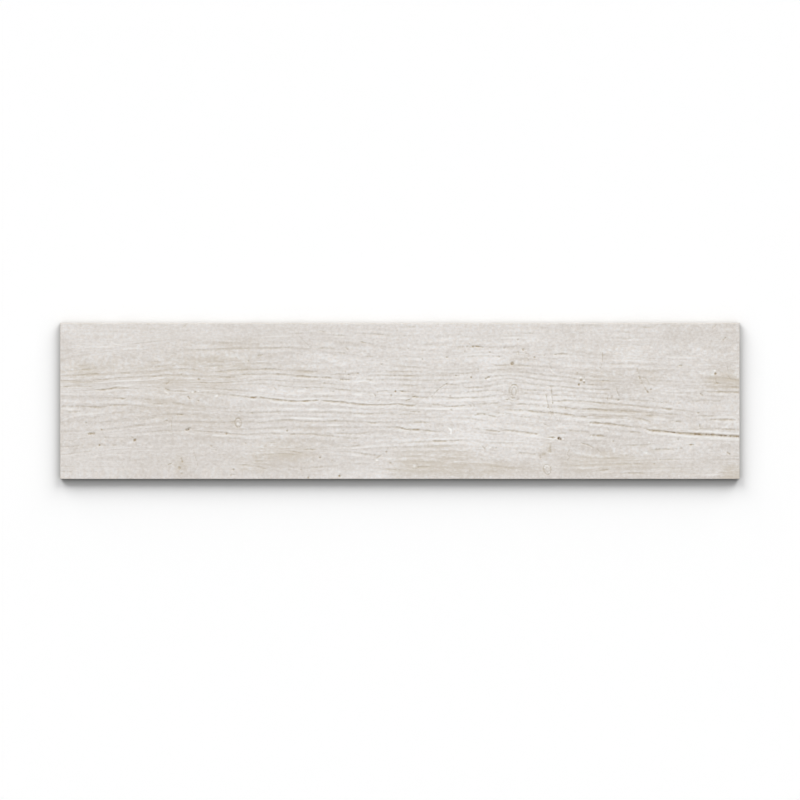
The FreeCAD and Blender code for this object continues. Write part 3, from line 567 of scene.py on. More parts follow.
washes = [
    (91, -34, 40, 26, 0.9), (113, -63, 25, 15, 0.7), (91, 18, 22, 20, 0.4), (128, 62, 26, 11, 0.7),
    (-110, 60, 34, 9, 0.6), (-137, 66, 20, 8, 0.5), (-63, 32, 15, 11, 0.6), (-165, 14, 44, 8, 0.5),
    (335, 69, 22, 11, 0.6), (213, 0, 30, 10, 0.5), (195, -49, 37, 9, 0.6), (40, -56, 44, 8, 0.5),
    (401, 51, 18, 15, 0.4), (416, -63, 30, 9, 0.5), (-49, -108, 22, 8, 0.5), (-400, 100, 100, 12, 0.25),
    (-483, -30, 20, 12, 0.25), (460, -27, 25, 8, 0.3), (-390, -75, 110, 45, -0.35),
    (-388, -56, 20, 12, -0.3), (-100, -41, 30, 40, -0.3), (283, -63, 18, 15, -0.45),
    (423, 91, 30, 15, -0.5), (482, 62, 30, 25, -0.5), (-19, -34, 15, 8, -0.3), (-85, 80, 10, 9, -0.5),
    (-450, 0, 60, 25, -0.15), (145, 0, 75, 38, 0.65), (165, -57, 50, 18, 0.4), (-60, 15, 60, 12, 0.45),
    (-195, 20, 35, 12, 0.4), (-250, -100, 28, 14, 0.8), (-190, -60, 30, 14, 0.4),
    (-475, 47, 30, 18, 0.45), (40, 108, 30, 12, 0.6), (250, 8, 30, 15, 0.35), (490, 45, 25, 14, 0.5),
    (490, -45, 25, 14, 0.4), (20, -20, 25, 20, 0.4), (205, 85, 30, 10, 0.3), (-483, -18, 35, 26, -0.8),
    (-370, -25, 55, 16, -0.6), (-265, -28, 55, 15, -0.85), (-330, 82, 28, 14, -0.65),
    (-145, 72, 35, 14, -0.6), (-118, 52, 25, 10, -0.5), (-140, -94, 50, 12, -0.6),
    (-50, -88, 30, 12, -0.5), (105, 50, 16, 12, -0.6), (325, 25, 30, 25, -0.5), (310, -35, 35, 25, -0.5),
    (400, 50, 30, 12, -0.4), (438, -18, 25, 14, -0.6), (252, -106, 30, 10, -0.6),
    (488, 106, 28, 12, -0.7), (360, -104, 40, 12, -0.5), (-445, 15, 30, 20, -0.4),
    (-460, 2, 34, 14, 0.35), (-300, -32, 24, 9, 0.2), (-35, -56, 50, 12, 0.22), (-100, -108, 12, 7, 0.5),
    (-30, -108, 12, 8, 0.6), (25, 78, 28, 8, 0.35), (85, 95, 45, 8, 0.3), (-40, 10, 40, 6, 0.22),
    (185, -20, 22, 11, 0.32), (256, -26, 18, 9, 0.3), (165, -62, 22, 8, 0.42), (115, -91, 14, 9, 0.3),
    (300, 86, 45, 8, 0.22), (345, 60, 22, 9, 0.2), (438, 75, 16, 9, 0.42), (385, -30, 24, 8, 0.3),
    (427, -37, 16, 6, 0.38), (490, -28, 14, 9, 0.25), (270, -86, 22, 8, 0.28), (380, -106, 14, 7, 0.4),
    (232, 5, 20, 7, 0.2), (-495, 108, 20, 9, 0.3), (-500, 76, 18, 13, -0.48), (-405, 22, 26, 8, -0.4),
    (-348, 24, 16, 7, -0.25), (-235, 85, 26, 13, -0.45), (-195, 102, 34, 10, -0.35),
    (-150, 70, 16, 16, -0.45), (-198, 48, 24, 9, -0.35), (-75, 35, 20, 8, -0.48), (-205, 4, 32, 6, -0.45),
    (-222, -26, 20, 9, -0.38), (-150, -27, 36, 9, -0.45), (-150, -58, 18, 12, -0.4),
    (-265, -85, 36, 12, -0.5), (-185, -93, 30, 9, -0.35), (-370, -108, 16, 7, -0.45),
    (-312, -110, 18, 8, -0.7), (90, 40, 24, 9, -0.45), (157, 50, 24, 9, -0.5), (197, 38, 22, 10, -0.38),
    (86, -29, 16, 9, -0.38), (112, -9, 16, 8, -0.25), (180, 5, 26, 7, -0.38), (130, -66, 14, 9, -0.38),
    (195, -100, 30, 11, -0.6), (236, -76, 18, 9, -0.38), (360, -4, 14, 9, -0.4), (490, 21, 22, 11, -0.5),
    (255, 105, 40, 8, -0.38), (402, 76, 16, 8, -0.4), (485, -58, 22, 12, -0.48), (-420, 41, 30, 6, 0.35),
    (-290, 48, 30, 14, 0.3), (-430, -22, 20, 8, 0.25), (-205, -80, 24, 8, 0.25), (-30, -88, 30, 9, 0.25),
    (15, -78, 24, 8, 0.25), (130, 80, 55, 8, 0.4), (205, -60, 22, 7, 0.35), (222, -94, 14, 8, 0.5),
    (262, 5, 34, 7, 0.25), (430, 84, 20, 7, 0.25), (482, 84, 18, 7, 0.3), (465, -38, 16, 8, 0.25),
    (345, 50, 20, 6, 0.25), (382, 38, 14, 10, 0.22), (-345, 30, 34, 20, 0.12), (-500, 52, 12, 10, -0.5),
    (-392, 60, 24, 8, -0.35), (-498, 84, 16, 8, -0.3), (-255, 35, 12, 22, -0.28), (-95, 0, 28, 6, -0.3),
    (-45, -8, 28, 6, -0.3), (-330, -15, 14, 8, -0.3), (-262, -15, 22, 6, -0.25), (-285, -64, 34, 7, -0.3),
    (-495, -66, 20, 10, -0.25), (40, -43, 30, 6, -0.3), (155, -76, 30, 7, -0.35), (225, -84, 26, 5, -0.4),
    (90, -28, 16, 7, -0.2), (300, -60, 16, 8, -0.25), (100, -106, 24, 6, -0.35), (370, -90, 20, 7, -0.25),
    (-230, 80, 30, 7, -0.2), (-345, 12, 34, 8, 0.15), (-430, 60, 24, 9, 0.4), (-470, 12, 22, 9, 0.22),
    (-288, 105, 34, 8, 0.2), (-190, 18, 16, 6, 0.2), (-88, 48, 18, 7, 0.22), (20, 78, 34, 8, 0.38),
    (-30, -16, 22, 6, 0.28), (-20, -107, 16, 7, 0.45), (-85, -108, 14, 7, 0.35), (40, -55, 36, 7, 0.2),
    (150, 25, 20, 6, 0.25), (165, -65, 20, 7, 0.25), (125, -97, 14, 7, 0.28), (190, 96, 18, 7, 0.28),
    (255, -36, 20, 14, 0.25), (242, 50, 18, 8, 0.25), (310, 12, 18, 9, 0.25), (366, -35, 14, 7, 0.35),
    (420, -36, 20, 6, 0.35), (300, 106, 24, 8, 0.28), (455, 64, 26, 6, 0.28), (467, 32, 8, 10, 0.35),
    (490, -14, 14, 8, 0.25), (380, -96, 18, 6, 0.35), (-500, 56, 14, 9, -0.35), (-500, 82, 14, 8, -0.25),
    (-415, 22, 20, 6, -0.25), (-336, 22, 14, 7, -0.35), (-205, 0, 26, 6, -0.3),
    (-345, -46, 14, 10, -0.25), (-155, -30, 24, 7, -0.25), (-150, -60, 18, 9, -0.3),
    (-192, -90, 24, 7, -0.32), (-46, -80, 14, 12, -0.35), (-310, -109, 16, 6, -0.5),
    (-250, -109, 22, 6, -0.25), (10, 0, 20, 5, -0.25), (175, 5, 20, 6, -0.25), (186, 40, 16, 7, -0.22),
    (215, -85, 34, 6, -0.28), (136, -70, 14, 6, -0.25), (235, 76, 28, 6, -0.25), (402, 76, 22, 6, -0.28),
    (360, 0, 12, 8, -0.28), (376, -70, 20, 8, -0.28), (300, -60, 14, 7, -0.22), (440, -60, 20, 7, -0.25),
    (488, -56, 16, 12, -0.35), (470, -84, 28, 12, -0.4), (382, -70, 16, 9, -0.28),
    (332, 30, 22, 8, -0.28), (480, -108, 34, 8, -0.35), (-310, 62, 24, 8, 0.25), (-355, 5, 22, 7, 0.3),
    (377, 23, 10, 5, 0.4), (130, -9.5, 16, 3, 0.35), (-460, 42, 16, 7, 0.3), (-380, 46, 26, 6, 0.3),
    (205, -70, 14, 8, 0.3), (220, -95, 20, 9, 0.35), (-400, 40, 34, 14, 0.16), (-350, 22, 22, 14, 0.16),
    (-487, 50, 18, 9, 0.25), (-470, -108, 36, 6, 0.45), (405, 100, 22, 8, -0.3), (-430, 8, 16, 6, 0.2),
    (-255, -30, 16, 6, 0.25), (-350, -25, 20, 6, 0.15), (286, -55, 16, 6, 0.2), (300, -75, 16, 6, 0.2),
    (408, -44, 16, 7, 0.25), (112, -16, 14, 7, -0.25), (-210, -44, 18, 6, -0.2), (60, -42, 110, 5, -0.15),
    (456, -50, 12, 8, -0.25), (480, -88, 22, 8, -0.2), (385, -90, 16, 7, -0.2), (-178, 25, 18, 7, -0.2),
    (-320, 8, 24, 6, -0.2), (30, -95, 14, 6, 0.25), (78, -104, 16, 6, 0.2), (234, -92, 10, 8, -0.3),
    (-60, -45, 14, 7, -0.25), (-46, -102, 12, 7, -0.25), (-395, 86, 14, 8, 0.2), (-491, 46, 10, 8, 0.2),
    (-490, -62, 10, 10, 0.2), (40, 88, 12, 7, -0.25), (390, 40, 12, 10, -0.2), (452, 0, 12, 8, -0.25),
    (446, -40, 8, 7, -0.2), (170, 108, 20, 6, 0.4), (30, -89, 16, 6, 0.3), (215, -92, 14, 6, 0.3),
    (-488, 2, 14, 22, 0.25), (-248, 65, 14, 5, 0.3), (-378, -26, 16, 8, 0.25), (-258, 108, 16, 6, -0.45),
    (0, -107, 16, 6, -0.4), (-42, -108, 10, 6, -0.35), (52, -108, 16, 6, -0.35), (300, -108, 14, 5, -0.3),
    (353, -108, 18, 5, -0.45), (-250, -105, 60, 7, -0.2), (-500, -76, 14, 7, -0.25),
    (-445, 60, 14, 8, -0.05), (290, 76, 30, 6, -0.2), (-200, -50, 16, 6, -0.3), (42, -18, 24, 9, -0.25),
    (118, 10, 10, 14, -0.22), (248, 35, 20, 10, -0.2), (310, 55, 16, 8, 0.4), (420, 0, 18, 7, 0.3),
    (482, -66, 12, 7, 0.35), (-190, 65, 22, 6, 0.2), (45, 56, 24, 6, 0.2), (496, -30, 10, 8, 0.3),
    (-480, 66, 18, 8, -0.3), (-493, -58, 14, 14, -0.22), (20, -43, 50, 5, -0.28),
    (-232, -78, 20, 8, -0.28), (385, 50, 12, 8, -0.28), (200, -46, 22, 6, -0.25),
    (128, -44, 16, 7, -0.25), (440, -38, 8, 8, -0.2), (-262, -93, 14, 7, -0.45),
    (-205, -98, 14, 7, -0.35), (418, -98, 24, 8, -0.4), (445, -38, 8, 10, -0.25), (340, -25, 20, 9, 0.3),
    (190, -8, 22, 7, 0.3), (240, -20, 18, 7, 0.25), (420, 68, 14, 7, 0.35), (-500, 0, 14, 12, -0.2),
    (470, -48, 14, 8, 0.3), (-82, -104, 10, 6, -0.45), (-10, 8, 16, 4, 0.2), (310, 102, 22, 8, 0.22),
    (185, 108, 30, 6, 0.2), (380, 92, 24, 8, -0.2), (-480, 100, 20, 12, 0.15),
]


def placed(x, y):
    # the marks were read with a slight stretch and shift, which this takes out
    return 0.998 * x - 0.25, y - 0.45


def pairs(places):
    return [placed(x, y) for x, y in zip(places[0::2], places[1::2])]


# How the lists above become strokes: each is a tone, a width in mm and its places
strokeLook = {
    "lineTone": 0.91,
    "lineWidth": 1.45,       # of the faintest growth line
    "darkWidening": 2.4,     # added to it at a tone of 1
    "crackEdge": 0.4,        # soft edge added to a crack
    "crackWidth": 1.2,
    "bandWidth": 4.4,
    "nickPower": 0.7,        # below 1, it lifts the faint nicks
    "pitTone": 0.5,
    "pitLift": 0.45,         # even a faint pit is this dark
    "pitWidth": 1.1,
    "ringSteps": 14,
}


def lineStroke(tone, *places):
    look = strokeLook
    return look["lineTone"] * tone, look["lineWidth"] + look["darkWidening"] * tone, pairs(places)


def crackStroke(tone, width, *places):
    return tone, strokeLook["crackEdge"] + strokeLook["crackWidth"] * width, pairs(places)


def nickStroke(tone, width, *places):
    return math.copysign(abs(tone) ** strokeLook["nickPower"], tone), width, pairs(places)


def pitStroke(x, y, width, tone):
    x, y = placed(x, y)
    darker = tone * strokeLook["pitTone"] + math.copysign(strokeLook["pitLift"], tone)
    return darker, strokeLook["pitWidth"] * width, [(x - 0.2, y), (x + 0.2, y)]


def ringStroke(x, y, halfWidth, halfHeight, lean, tone, width):
    turn = math.radians(lean)
    x, y = placed(x, y)
    path = []
    for step in range(strokeLook["ringSteps"] + 1):
        angle = 2 * math.pi * step / strokeLook["ringSteps"]
        across, up = halfWidth * math.cos(angle), halfHeight * math.sin(angle)
        path.append((x + across * math.cos(turn) - up * math.sin(turn),
                     y + across * math.sin(turn) + up * math.cos(turn)))
    return tone, width, path


lineStrokes = [lineStroke(*line) for line in growthLines if line[0] > 0]
lineStrokes += [crackStroke(*crack) for crack in cracks]
bandStrokes = [(-tone, strokeLook["bandWidth"], pairs(places))
               for tone, *places in growthLines if tone < 0]
nickStrokes = [nickStroke(*nick) for nick in nicks]
spotStrokes = nickStrokes + [pitStroke(*pit) for pit in pits] + [ringStroke(*ring) for ring in knotRings]


# The shell: the back as it is, and a fine grid for the printed face

shellPlan = {
    "columns": 288,       # cells of the face along the plank
    "rows": 294,          # and across it, where the grain is fine
    "extraCuts": 2,       # more columns in the cells round a pit or nick
    "cutMargin": 1.6 * mm,
}


def markPaths():
    # every pit, nick and knot as a path with its reach, for the places that need smaller cells
    for tone, width, path in nickStrokes:
        yield width * mm / 2, [(x * mm, y * mm) for x, y in path]
    for x, y, width, tone in pits:
        x, y = placed(x, y)
        yield width * mm / 2, [(x * mm, y * mm)]
    for x, y, halfWidth, halfHeight, lean, tone, width in knotRings:
        x, y = placed(x, y)
        yield max(halfWidth, halfHeight) * mm, [(x * mm, y * mm)]


def nearMarks(x, y, margin):
    # for each point, whether it lies within the margin of a mark
    near = np.zeros(len(x), bool)
    for reach, path in markPaths():
        steps = [path[0]]
        for (ax, ay), (bx, by) in zip(path, path[1:]):
            count = max(1, math.ceil(math.hypot(bx - ax, by - ay) / (2 * mm)))
            steps += [(ax + (bx - ax) * i / count, ay + (by - ay) * i / count)
                      for i in range(1, count + 1)]
        for px, py in steps:
            near |= (np.abs(x - px) < reach + margin) & (np.abs(y - py) < reach + margin)
    return near


def buildShell():
    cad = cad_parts["plank_tile"]
    low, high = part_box("plank_tile")
    shell = bmesh.new()
    shell.from_mesh(cad.data)
    bmesh.ops.remove_doubles(shell, verts=shell.verts, dist=1e-6)
    onEnd = [v.co.z for v in shell.verts if v.co.x > high.x - tiny]
    sideFoot, sideHead = min(onEnd), max(onEnd)
    faceHalfLength = max(v.co.x for v in shell.verts if v.co.z > high.z - tiny)
    faceHalfWidth = max(v.co.y for v in shell.verts if v.co.z > high.z - tiny)
    above = [f for f in shell.faces if min(v.co.z for v in f.verts) > sideFoot - tiny]
    bmesh.ops.delete(shell, geom=above, context="FACES")
    for f in shell.faces:
        f.smooth = False

    columns, rows = shellPlan["columns"], shellPlan["rows"]
    grid = bmesh.ops.create_grid(shell, x_segments=columns, y_segments=rows, size=1.0)
    for v in grid["verts"]:
        v.co = (v.co.x * faceHalfLength, v.co.y * faceHalfWidth, high.z)
    along = [e for e in {e for v in grid["verts"] for e in v.link_edges}
             if abs(e.verts[0].co.y - e.verts[1].co.y) < tiny and not e.is_boundary]
    along.sort(key=lambda e: e.index)
    middles = np.array([(e.verts[0].co + e.verts[1].co)[:2] for e in along]) / 2
    near = nearMarks(middles[:, 0], middles[:, 1], shellPlan["cutMargin"])
    chosen = [e for e, pick in zip(along, near) if pick]
    bmesh.ops.subdivide_edges(shell, edges=chosen, cuts=shellPlan["extraCuts"])

    face = [v for v in shell.verts if v.co.z > high.z - tiny]
    for f in {f for v in face for f in v.link_faces}:
        f.smooth = True
    rim = [e for e in {e for v in face for e in v.link_edges} if e.is_boundary]
    rim.sort(key=lambda e: (round(e.verts[0].co.x, 6), round(e.verts[0].co.y, 6),
                            round(e.verts[1].co.x, 6), round(e.verts[1].co.y, 6)))
    skirt = bmesh.ops.extrude_edge_only(shell, edges=rim)["geom"]
    foot = [g for g in skirt if isinstance(g, bmesh.types.BMVert)]
    for f in [g for g in skirt if isinstance(g, bmesh.types.BMFace)]:
        f.smooth = False
    for v in foot:
        v.co = (v.co.x * high.x / faceHalfLength, v.co.y * high.y / faceHalfWidth, sideHead)

    # each side is one flat polygon from the arris down to the back
    corners = {(v.co.x > 0, v.co.y > 0): v for v in shell.verts if abs(v.co.z - sideFoot) < tiny}
    for axis, sign in ((0, 1), (0, -1), (1, 1), (1, -1)):
        limit = (high.x, high.y)[axis]
        top = sorted((v for v in foot if v.co[axis] * sign > limit - tiny), key=lambda v: v.co[1 - axis])
        ends = [corners[(v.co.x > 0, v.co.y > 0)] for v in (top[0], top[-1])]
        shell.faces.new([*top, ends[1], ends[0]]).smooth = False
    bmesh.ops.recalc_face_normals(shell, faces=shell.faces)
    mesh = bpy.data.meshes.new("grained_tile")
    shell.to_mesh(mesh)
    shell.free()
    return mesh, high.z


tileMesh, faceHeight = buildShell()
print("scene: shell of", len(tileMesh.polygons), "faces")


# How the grain runs: the long strokes say which way, and it is followed from the middle to both ends

flowPlan = {
    "halfLength": 504 * mm,  # of the grid of heights, a little past the tile
    "halfWidth": 139.5 * mm,
    "columnStep": 4 * mm,
    "rowStep": 1.5 * mm,
    "reachAlong": 26 * mm,   # how far a stroke's direction carries along the grain
    "reachAcross": 6.5 * mm,
    "calm": 0.25,            # pulls the grain straight where no stroke is near
    "steepest": 0.6,
}


def strokeSlopes():
    # for each stretch of a stroke: its middle, its slope, and its weight, which is its length in cm
    rows = []
    for tone, width, path in lineStrokes + bandStrokes:
        for (ax, ay), (bx, by) in zip(path, path[1:]):
            if abs(by - ay) < flowPlan["steepest"] * abs(bx - ax):
                slope = (by - ay) / (bx - ax)
                rows.append(((ax + bx) / 2 * mm, (ay + by) / 2 * mm, slope, abs(bx - ax) / 10))
    return np.array(rows).T


def grainLevels():
    # a height for every point of a wide grid, the same all along a line of the grain
    halfLength, halfWidth = flowPlan["halfLength"], flowPlan["halfWidth"]
    xs = np.arange(-halfLength, halfLength + 0.1 * mm, flowPlan["columnStep"])
    ys = np.arange(-halfWidth, halfWidth + 0.1 * mm, flowPlan["rowStep"])
    atX, atY, slope, weight = strokeSlopes()
    across = (ys[:, None] - atY) / flowPlan["reachAcross"]
    levels = np.zeros((len(xs), len(ys)))
    middle = len(xs) // 2
    levels[middle] = ys

    def slopesAt(x):
        pull = weight * np.exp(-((x - atX) / flowPlan["reachAlong"]) ** 2 - across ** 2)
        return (pull * slope).sum(1) / (pull.sum(1) + flowPlan["calm"])

    for step in (1, -1):
        column = middle
        while 0 <= column + step < len(xs):
            run = step * flowPlan["columnStep"]
            cameFrom = ys - slopesAt(xs[column] + run / 2) * run
            levels[column + step] = np.interp(cameFrom, ys, levels[column])
            column += step
    return xs, ys, levels


def readGrid(xs, ys, values, x, y):
    # the grid's value at each point, blended between the four nearest and held past its edges
    column = np.clip((x - xs[0]) / (xs[1] - xs[0]), 0, len(xs) - 1.001)
    row = np.clip((y - ys[0]) / (ys[1] - ys[0]), 0, len(ys) - 1.001)
    i, j = column.astype(int), row.astype(int)
    u, v = column - i, row - j
    left = values[i, j] * (1 - v) + values[i, j + 1] * v
    right = values[i + 1, j] * (1 - v) + values[i + 1, j + 1] * v
    return left * (1 - u) + right * u


# The growth rings are a wave across the grain that keeps in step with the strokes near by: its dark
# crest lies on each dark stroke, and the pale troughs lie between them

ringPlan = {
    "pitch": 7.6 * mm,
    "sampleStep": 4.0,       # mm between the places read along a stroke
    "reachAlong": 20 * mm,
    "reachAcross": 4.6 * mm,
    "farthest": 2.5,         # reaches along the grain, past which a stroke isn't felt
    "pull": 1.2,             # of a stroke of tone 1
    "strongestPull": 0.85,
    "calm": 0.5,             # stills the wave where no stroke is near
}


def ringSamples(xs, ys, levels):
    # places along the strokes: across, the level of the grain there, and the pull towards a crest
    atX, atY, pull = [], [], []
    for tone, width, path in lineStrokes + [(-tone, width, path) for tone, width, path in bandStrokes]:
        for (ax, ay), (bx, by) in zip(path, path[1:]):
            count = max(1, round(abs(bx - ax) / ringPlan["sampleStep"]))
            for i in range(count):
                share = (i + 0.5) / count
                atX.append((ax + (bx - ax) * share) * mm)
                atY.append((ay + (by - ay) * share) * mm)
                amount = min(ringPlan["pull"] * abs(tone), ringPlan["strongestPull"])
                pull.append(math.copysign(amount, tone))
    atX, atY, pull = np.array(atX), np.array(atY), np.array(pull)
    return atX, readGrid(xs, ys, levels, atX, atY), pull


def ringTurns(xs, ys, levels):
    # for every point of the grid, how far the wave is turned there, as a cosine and a sine
    atX, atLevel, pull = ringSamples(xs, ys, levels)
    cosine, sine = np.zeros_like(levels), np.zeros_like(levels)
    turn = 2 * math.pi * atLevel / ringPlan["pitch"]
    for column, x in enumerate(xs):
        near = np.abs(atX - x) < ringPlan["farthest"] * ringPlan["reachAlong"]
        gap = ((x - atX[near]) / ringPlan["reachAlong"]) ** 2
        gap = gap + ((levels[column][:, None] - atLevel[near]) / ringPlan["reachAcross"]) ** 2
        weight = np.exp(-gap)
        total = (weight * np.abs(pull[near])).sum(1) + ringPlan["calm"]
        cosine[column] = (weight * pull[near] * np.cos(turn[near])).sum(1) / total
        sine[column] = (weight * pull[near] * np.sin(turn[near])).sum(1) / total
    return cosine, sine


def patchStrength(patches, x, y):
    # a patch is even near its middle and half gone at its reach
    total = np.zeros(len(x))
    for px, py, along, across, strength in patches:
        distance = ((x / mm - px) / along) ** 2 + ((y / mm - py) / across) ** 2
        total += strength * np.exp(-distance ** 1.3 * 0.7)
    return total


def storeFloats(mesh, name, values):
    mesh.attributes.new(name, "FLOAT", "POINT").data.foreach_set("value", values.astype(np.float32))


def storeGrain():
    places = np.empty(3 * len(tileMesh.vertices))
    tileMesh.vertices.foreach_get("co", places)
    x, y, z = places.reshape(-1, 3).T
    xs, ys, levels = grainLevels()
    level = readGrid(xs, ys, levels, x, y)
    cosine, sine = (readGrid(xs, ys, part, x, y) for part in ringTurns(xs, ys, levels))
    turn = 2 * math.pi * level / ringPlan["pitch"]
    storeFloats(tileMesh, "grainLevel", level)
    storeFloats(tileMesh, "ringWave", cosine * np.cos(turn) + sine * np.sin(turn))
    storeFloats(tileMesh, "ringClear", np.hypot(cosine, sine))
    storeFloats(tileMesh, "stain", patchStrength(stains, x, y))
    storeFloats(tileMesh, "wash", patchStrength(washes, x, y))
    storeFloats(tileMesh, "onFace", (z > faceHeight - tiny).astype(float))


storeGrain()
print("scene: grain followed")


# Strokes as chains of edges for the relief tree

def strokeObject(name, strokes):
    points, edges, widths, tones = [], [], [], []
    for tone, width, path in strokes:
        first = len(points)
        points += [(x * mm, y * mm, faceHeight) for x, y in path]
        edges += [(i, i + 1) for i in range(first, len(points) - 1)]
        widths += [width * mm] * len(path)
        tones += [tone] * len(path)
    mesh = bpy.data.meshes.new(name)
    mesh.from_pydata(points, edges, [])
    storeFloats(mesh, "strokeWidth", np.array(widths))
    storeFloats(mesh, "strokeTone", np.array(tones))
    made = bpy.data.objects.new(name, mesh)
    bpy.context.scene.collection.objects.link(made)
    return made


lineObject = strokeObject("lineStrokes", lineStrokes)
bandObject = strokeObject("bandStrokes", bandStrokes)
spotObject = strokeObject("spotStrokes", spotStrokes)


# The relief tree: presses the strokes and the growth rings into the face and stores what the print shows

strokePlan = {
    "step": 1.2 * mm,        # between the points of a smoothed stroke
    "taperShare": 0.22,      # of a stroke's length, thinner towards its end
    "raggedScales": (210, 210, 210),      # of the noise that makes its width uneven
    "beadScales": (150, 330, 150),        # of the one that breaks up its tone
    "ringScales": (22.0, 120.0, 1.0),     # of the one that lets the growth rings come and go
    "fibreScales": (60.0, 640.0, 1.0),    # and of the fine fibres between them
    # how much of its width a stroke loses at its ends, and what is left of its tone between the beads
    "lines": (0.45, 0.68),
    "bands": (0.6, 0.65),
    "spots": (0.0, 0.85),
    "rim": 0.62,             # how pale the whitewash is along the darkest strokes
    "bandTone": 0.9,
}

relief = {
    "Ring Depth": 0.030 * mm,
    "Fibre Depth": 0.020 * mm,
    "Line Depth": 0.20 * mm,
    "Pit Depth": 0.28 * mm,
    "Seed": 7.0,
}


def reliefTree():
    tree = bpy.data.node_groups.new("Pressed Grain", "GeometryNodeTree")
    face = tree.interface
    face.new_socket("Geometry", in_out="INPUT", socket_type="NodeSocketGeometry")
    for name in ("Lines", "Bands", "Spots"):
        face.new_socket(name, in_out="INPUT", socket_type="NodeSocketObject")
    for name, value in relief.items():
        socket = face.new_socket(name, in_out="INPUT", socket_type="NodeSocketFloat")
        socket.default_value = value
    for name in ("Face Material", "Body Material"):
        face.new_socket(name, in_out="INPUT", socket_type="NodeSocketMaterial")
    face.new_socket("Geometry", in_out="OUTPUT", socket_type="NodeSocketGeometry")
    given = addNode(tree, "NodeGroupInput").outputs

    def attribute(name):
        made = addNode(tree, "GeometryNodeInputNamedAttribute", {"Name": name}, data_type="FLOAT")
        return made.outputs["Attribute"]

    position = addNode(tree, "GeometryNodeInputPosition").outputs[0]
    split = addNode(tree, "ShaderNodeSeparateXYZ", {0: position})
    grain = combine(tree, split.outputs[0], attribute("grainLevel"), given["Seed"])

    def strokes(target, taper, faintest):
        # the nearest stroke: how far off it is in shares of its half width, and its tone there
        info = addNode(tree, "GeometryNodeObjectInfo", {"Object": target}, transform_space="ORIGINAL")
        chain = addNode(tree, "GeometryNodeMeshToCurve", {"Mesh": info.outputs["Geometry"]})
        smooth = addNode(tree, "GeometryNodeCurveSplineType", {"Curve": chain}, spline_type="CATMULL_ROM")
        inputs = {"Curve": smooth, "Length": strokePlan["step"]}
        fine = addNode(tree, "GeometryNodeResampleCurve", inputs, mode="LENGTH")
        factor = addNode(tree, "GeometryNodeSplineParameter").outputs["Factor"]
        fromEnd = calc(tree, "MINIMUM", factor, calc(tree, "SUBTRACT", 1.0, factor))
        thin = ramp(tree, fromEnd, 0.0, strokePlan["taperShare"], 1.0 - taper, 1.0, "LINEAR")
        ragged = noise(tree, position, strokePlan["raggedScales"])
        ragged = ramp(tree, ragged, 0.3, 0.7, 0.75, 1.2, "LINEAR")
        beads = ramp(tree, noise(tree, position, strokePlan["beadScales"]), 0.36, 0.60, faintest, 1.0)
        width = calc(tree, "MULTIPLY", attribute("strokeWidth"), calc(tree, "MULTIPLY", thin, ragged))
        beaded = calc(tree, "MULTIPLY", attribute("strokeTone"), beads)
        stored = fine
        for name, value in (("strokeWidth", width), ("strokeTone", beaded)):
            inputs = {"Geometry": stored, "Name": name, "Value": value}
            stored = addNode(tree, "GeometryNodeStoreNamedAttribute", inputs)
        wire = addNode(tree, "GeometryNodeCurveToMesh", {"Curve": stored}).outputs[0]
        distance = addNode(tree, "GeometryNodeProximity", {"Geometry": wire}, target_element="EDGES")
        nearest = addNode(tree, "GeometryNodeSampleNearest", {"Geometry": wire}).outputs[0]

        def there(name):
            inputs = {"Geometry": wire, "Value": attribute(name), "Index": nearest}
            return addNode(tree, "GeometryNodeSampleIndex", inputs).outputs[0]

        halfWidth = calc(tree, "MULTIPLY", there("strokeWidth"), 0.5)
        return calc(tree, "DIVIDE", distance.outputs["Distance"], halfWidth), there("strokeTone")

    lineReach, lineTone = strokes(given["Lines"], *strokePlan["lines"])
    bandReach, bandTone = strokes(given["Bands"], *strokePlan["bands"])
    spotReach, spotTone = strokes(given["Spots"], *strokePlan["spots"])
    lineMark = calc(tree, "MULTIPLY", ramp(tree, lineReach, 0.15, 1.35, 1.0, 0.0), lineTone)
    bandMark = calc(tree, "MULTIPLY", ramp(tree, bandReach, 0.1, 1.1, 1.0, 0.0), bandTone)
    spotMark = calc(tree, "MULTIPLY", ramp(tree, spotReach, 0.55, 1.25, 1.0, 0.0), spotTone)
    darkMark = calc(tree, "MAXIMUM", lineMark, spotMark)

    # the whitewash gathers in a pale rim along the stronger strokes
    rimBand = calc(tree, "MULTIPLY", ramp(tree, lineReach, 1.0, 1.9),
                   ramp(tree, lineReach, 2.0, 3.6, 1.0, 0.0))
    rim = calc(tree, "MULTIPLY", rimBand, ramp(tree, lineTone, 0.35, 1.0, 0.0, strokePlan["rim"]))
    chip = calc(tree, "MAXIMUM", calc(tree, "MULTIPLY", spotMark, -1.0), 0.0)
    band = calc(tree, "MULTIPLY", bandMark, strokePlan["bandTone"])
    paleMark = calc(tree, "MAXIMUM", calc(tree, "MAXIMUM", rim, chip), band)

    # the dark half of the ring wave is pressed in, and comes and goes along the plank
    comes = ramp(tree, noise(tree, grain, strokePlan["ringScales"]), 0.36, 0.60, 0.65, 1.0)
    ring = calc(tree, "MULTIPLY", attribute("ringWave"), comes)
    fibre = noise(tree, grain, strokePlan["fibreScales"], 2.0, 0.6)

    down = calc(tree, "MULTIPLY", calc(tree, "MAXIMUM", ring, 0.0), given["Ring Depth"])
    pit = calc(tree, "ABSOLUTE", spotMark)
    for share, depth in ((fibre, "Fibre Depth"), (lineMark, "Line Depth"), (pit, "Pit Depth")):
        down = calc(tree, "ADD", down, calc(tree, "MULTIPLY", share, given[depth]))
    drop = calc(tree, "MULTIPLY", calc(tree, "MULTIPLY", down, attribute("onFace")), -1.0)

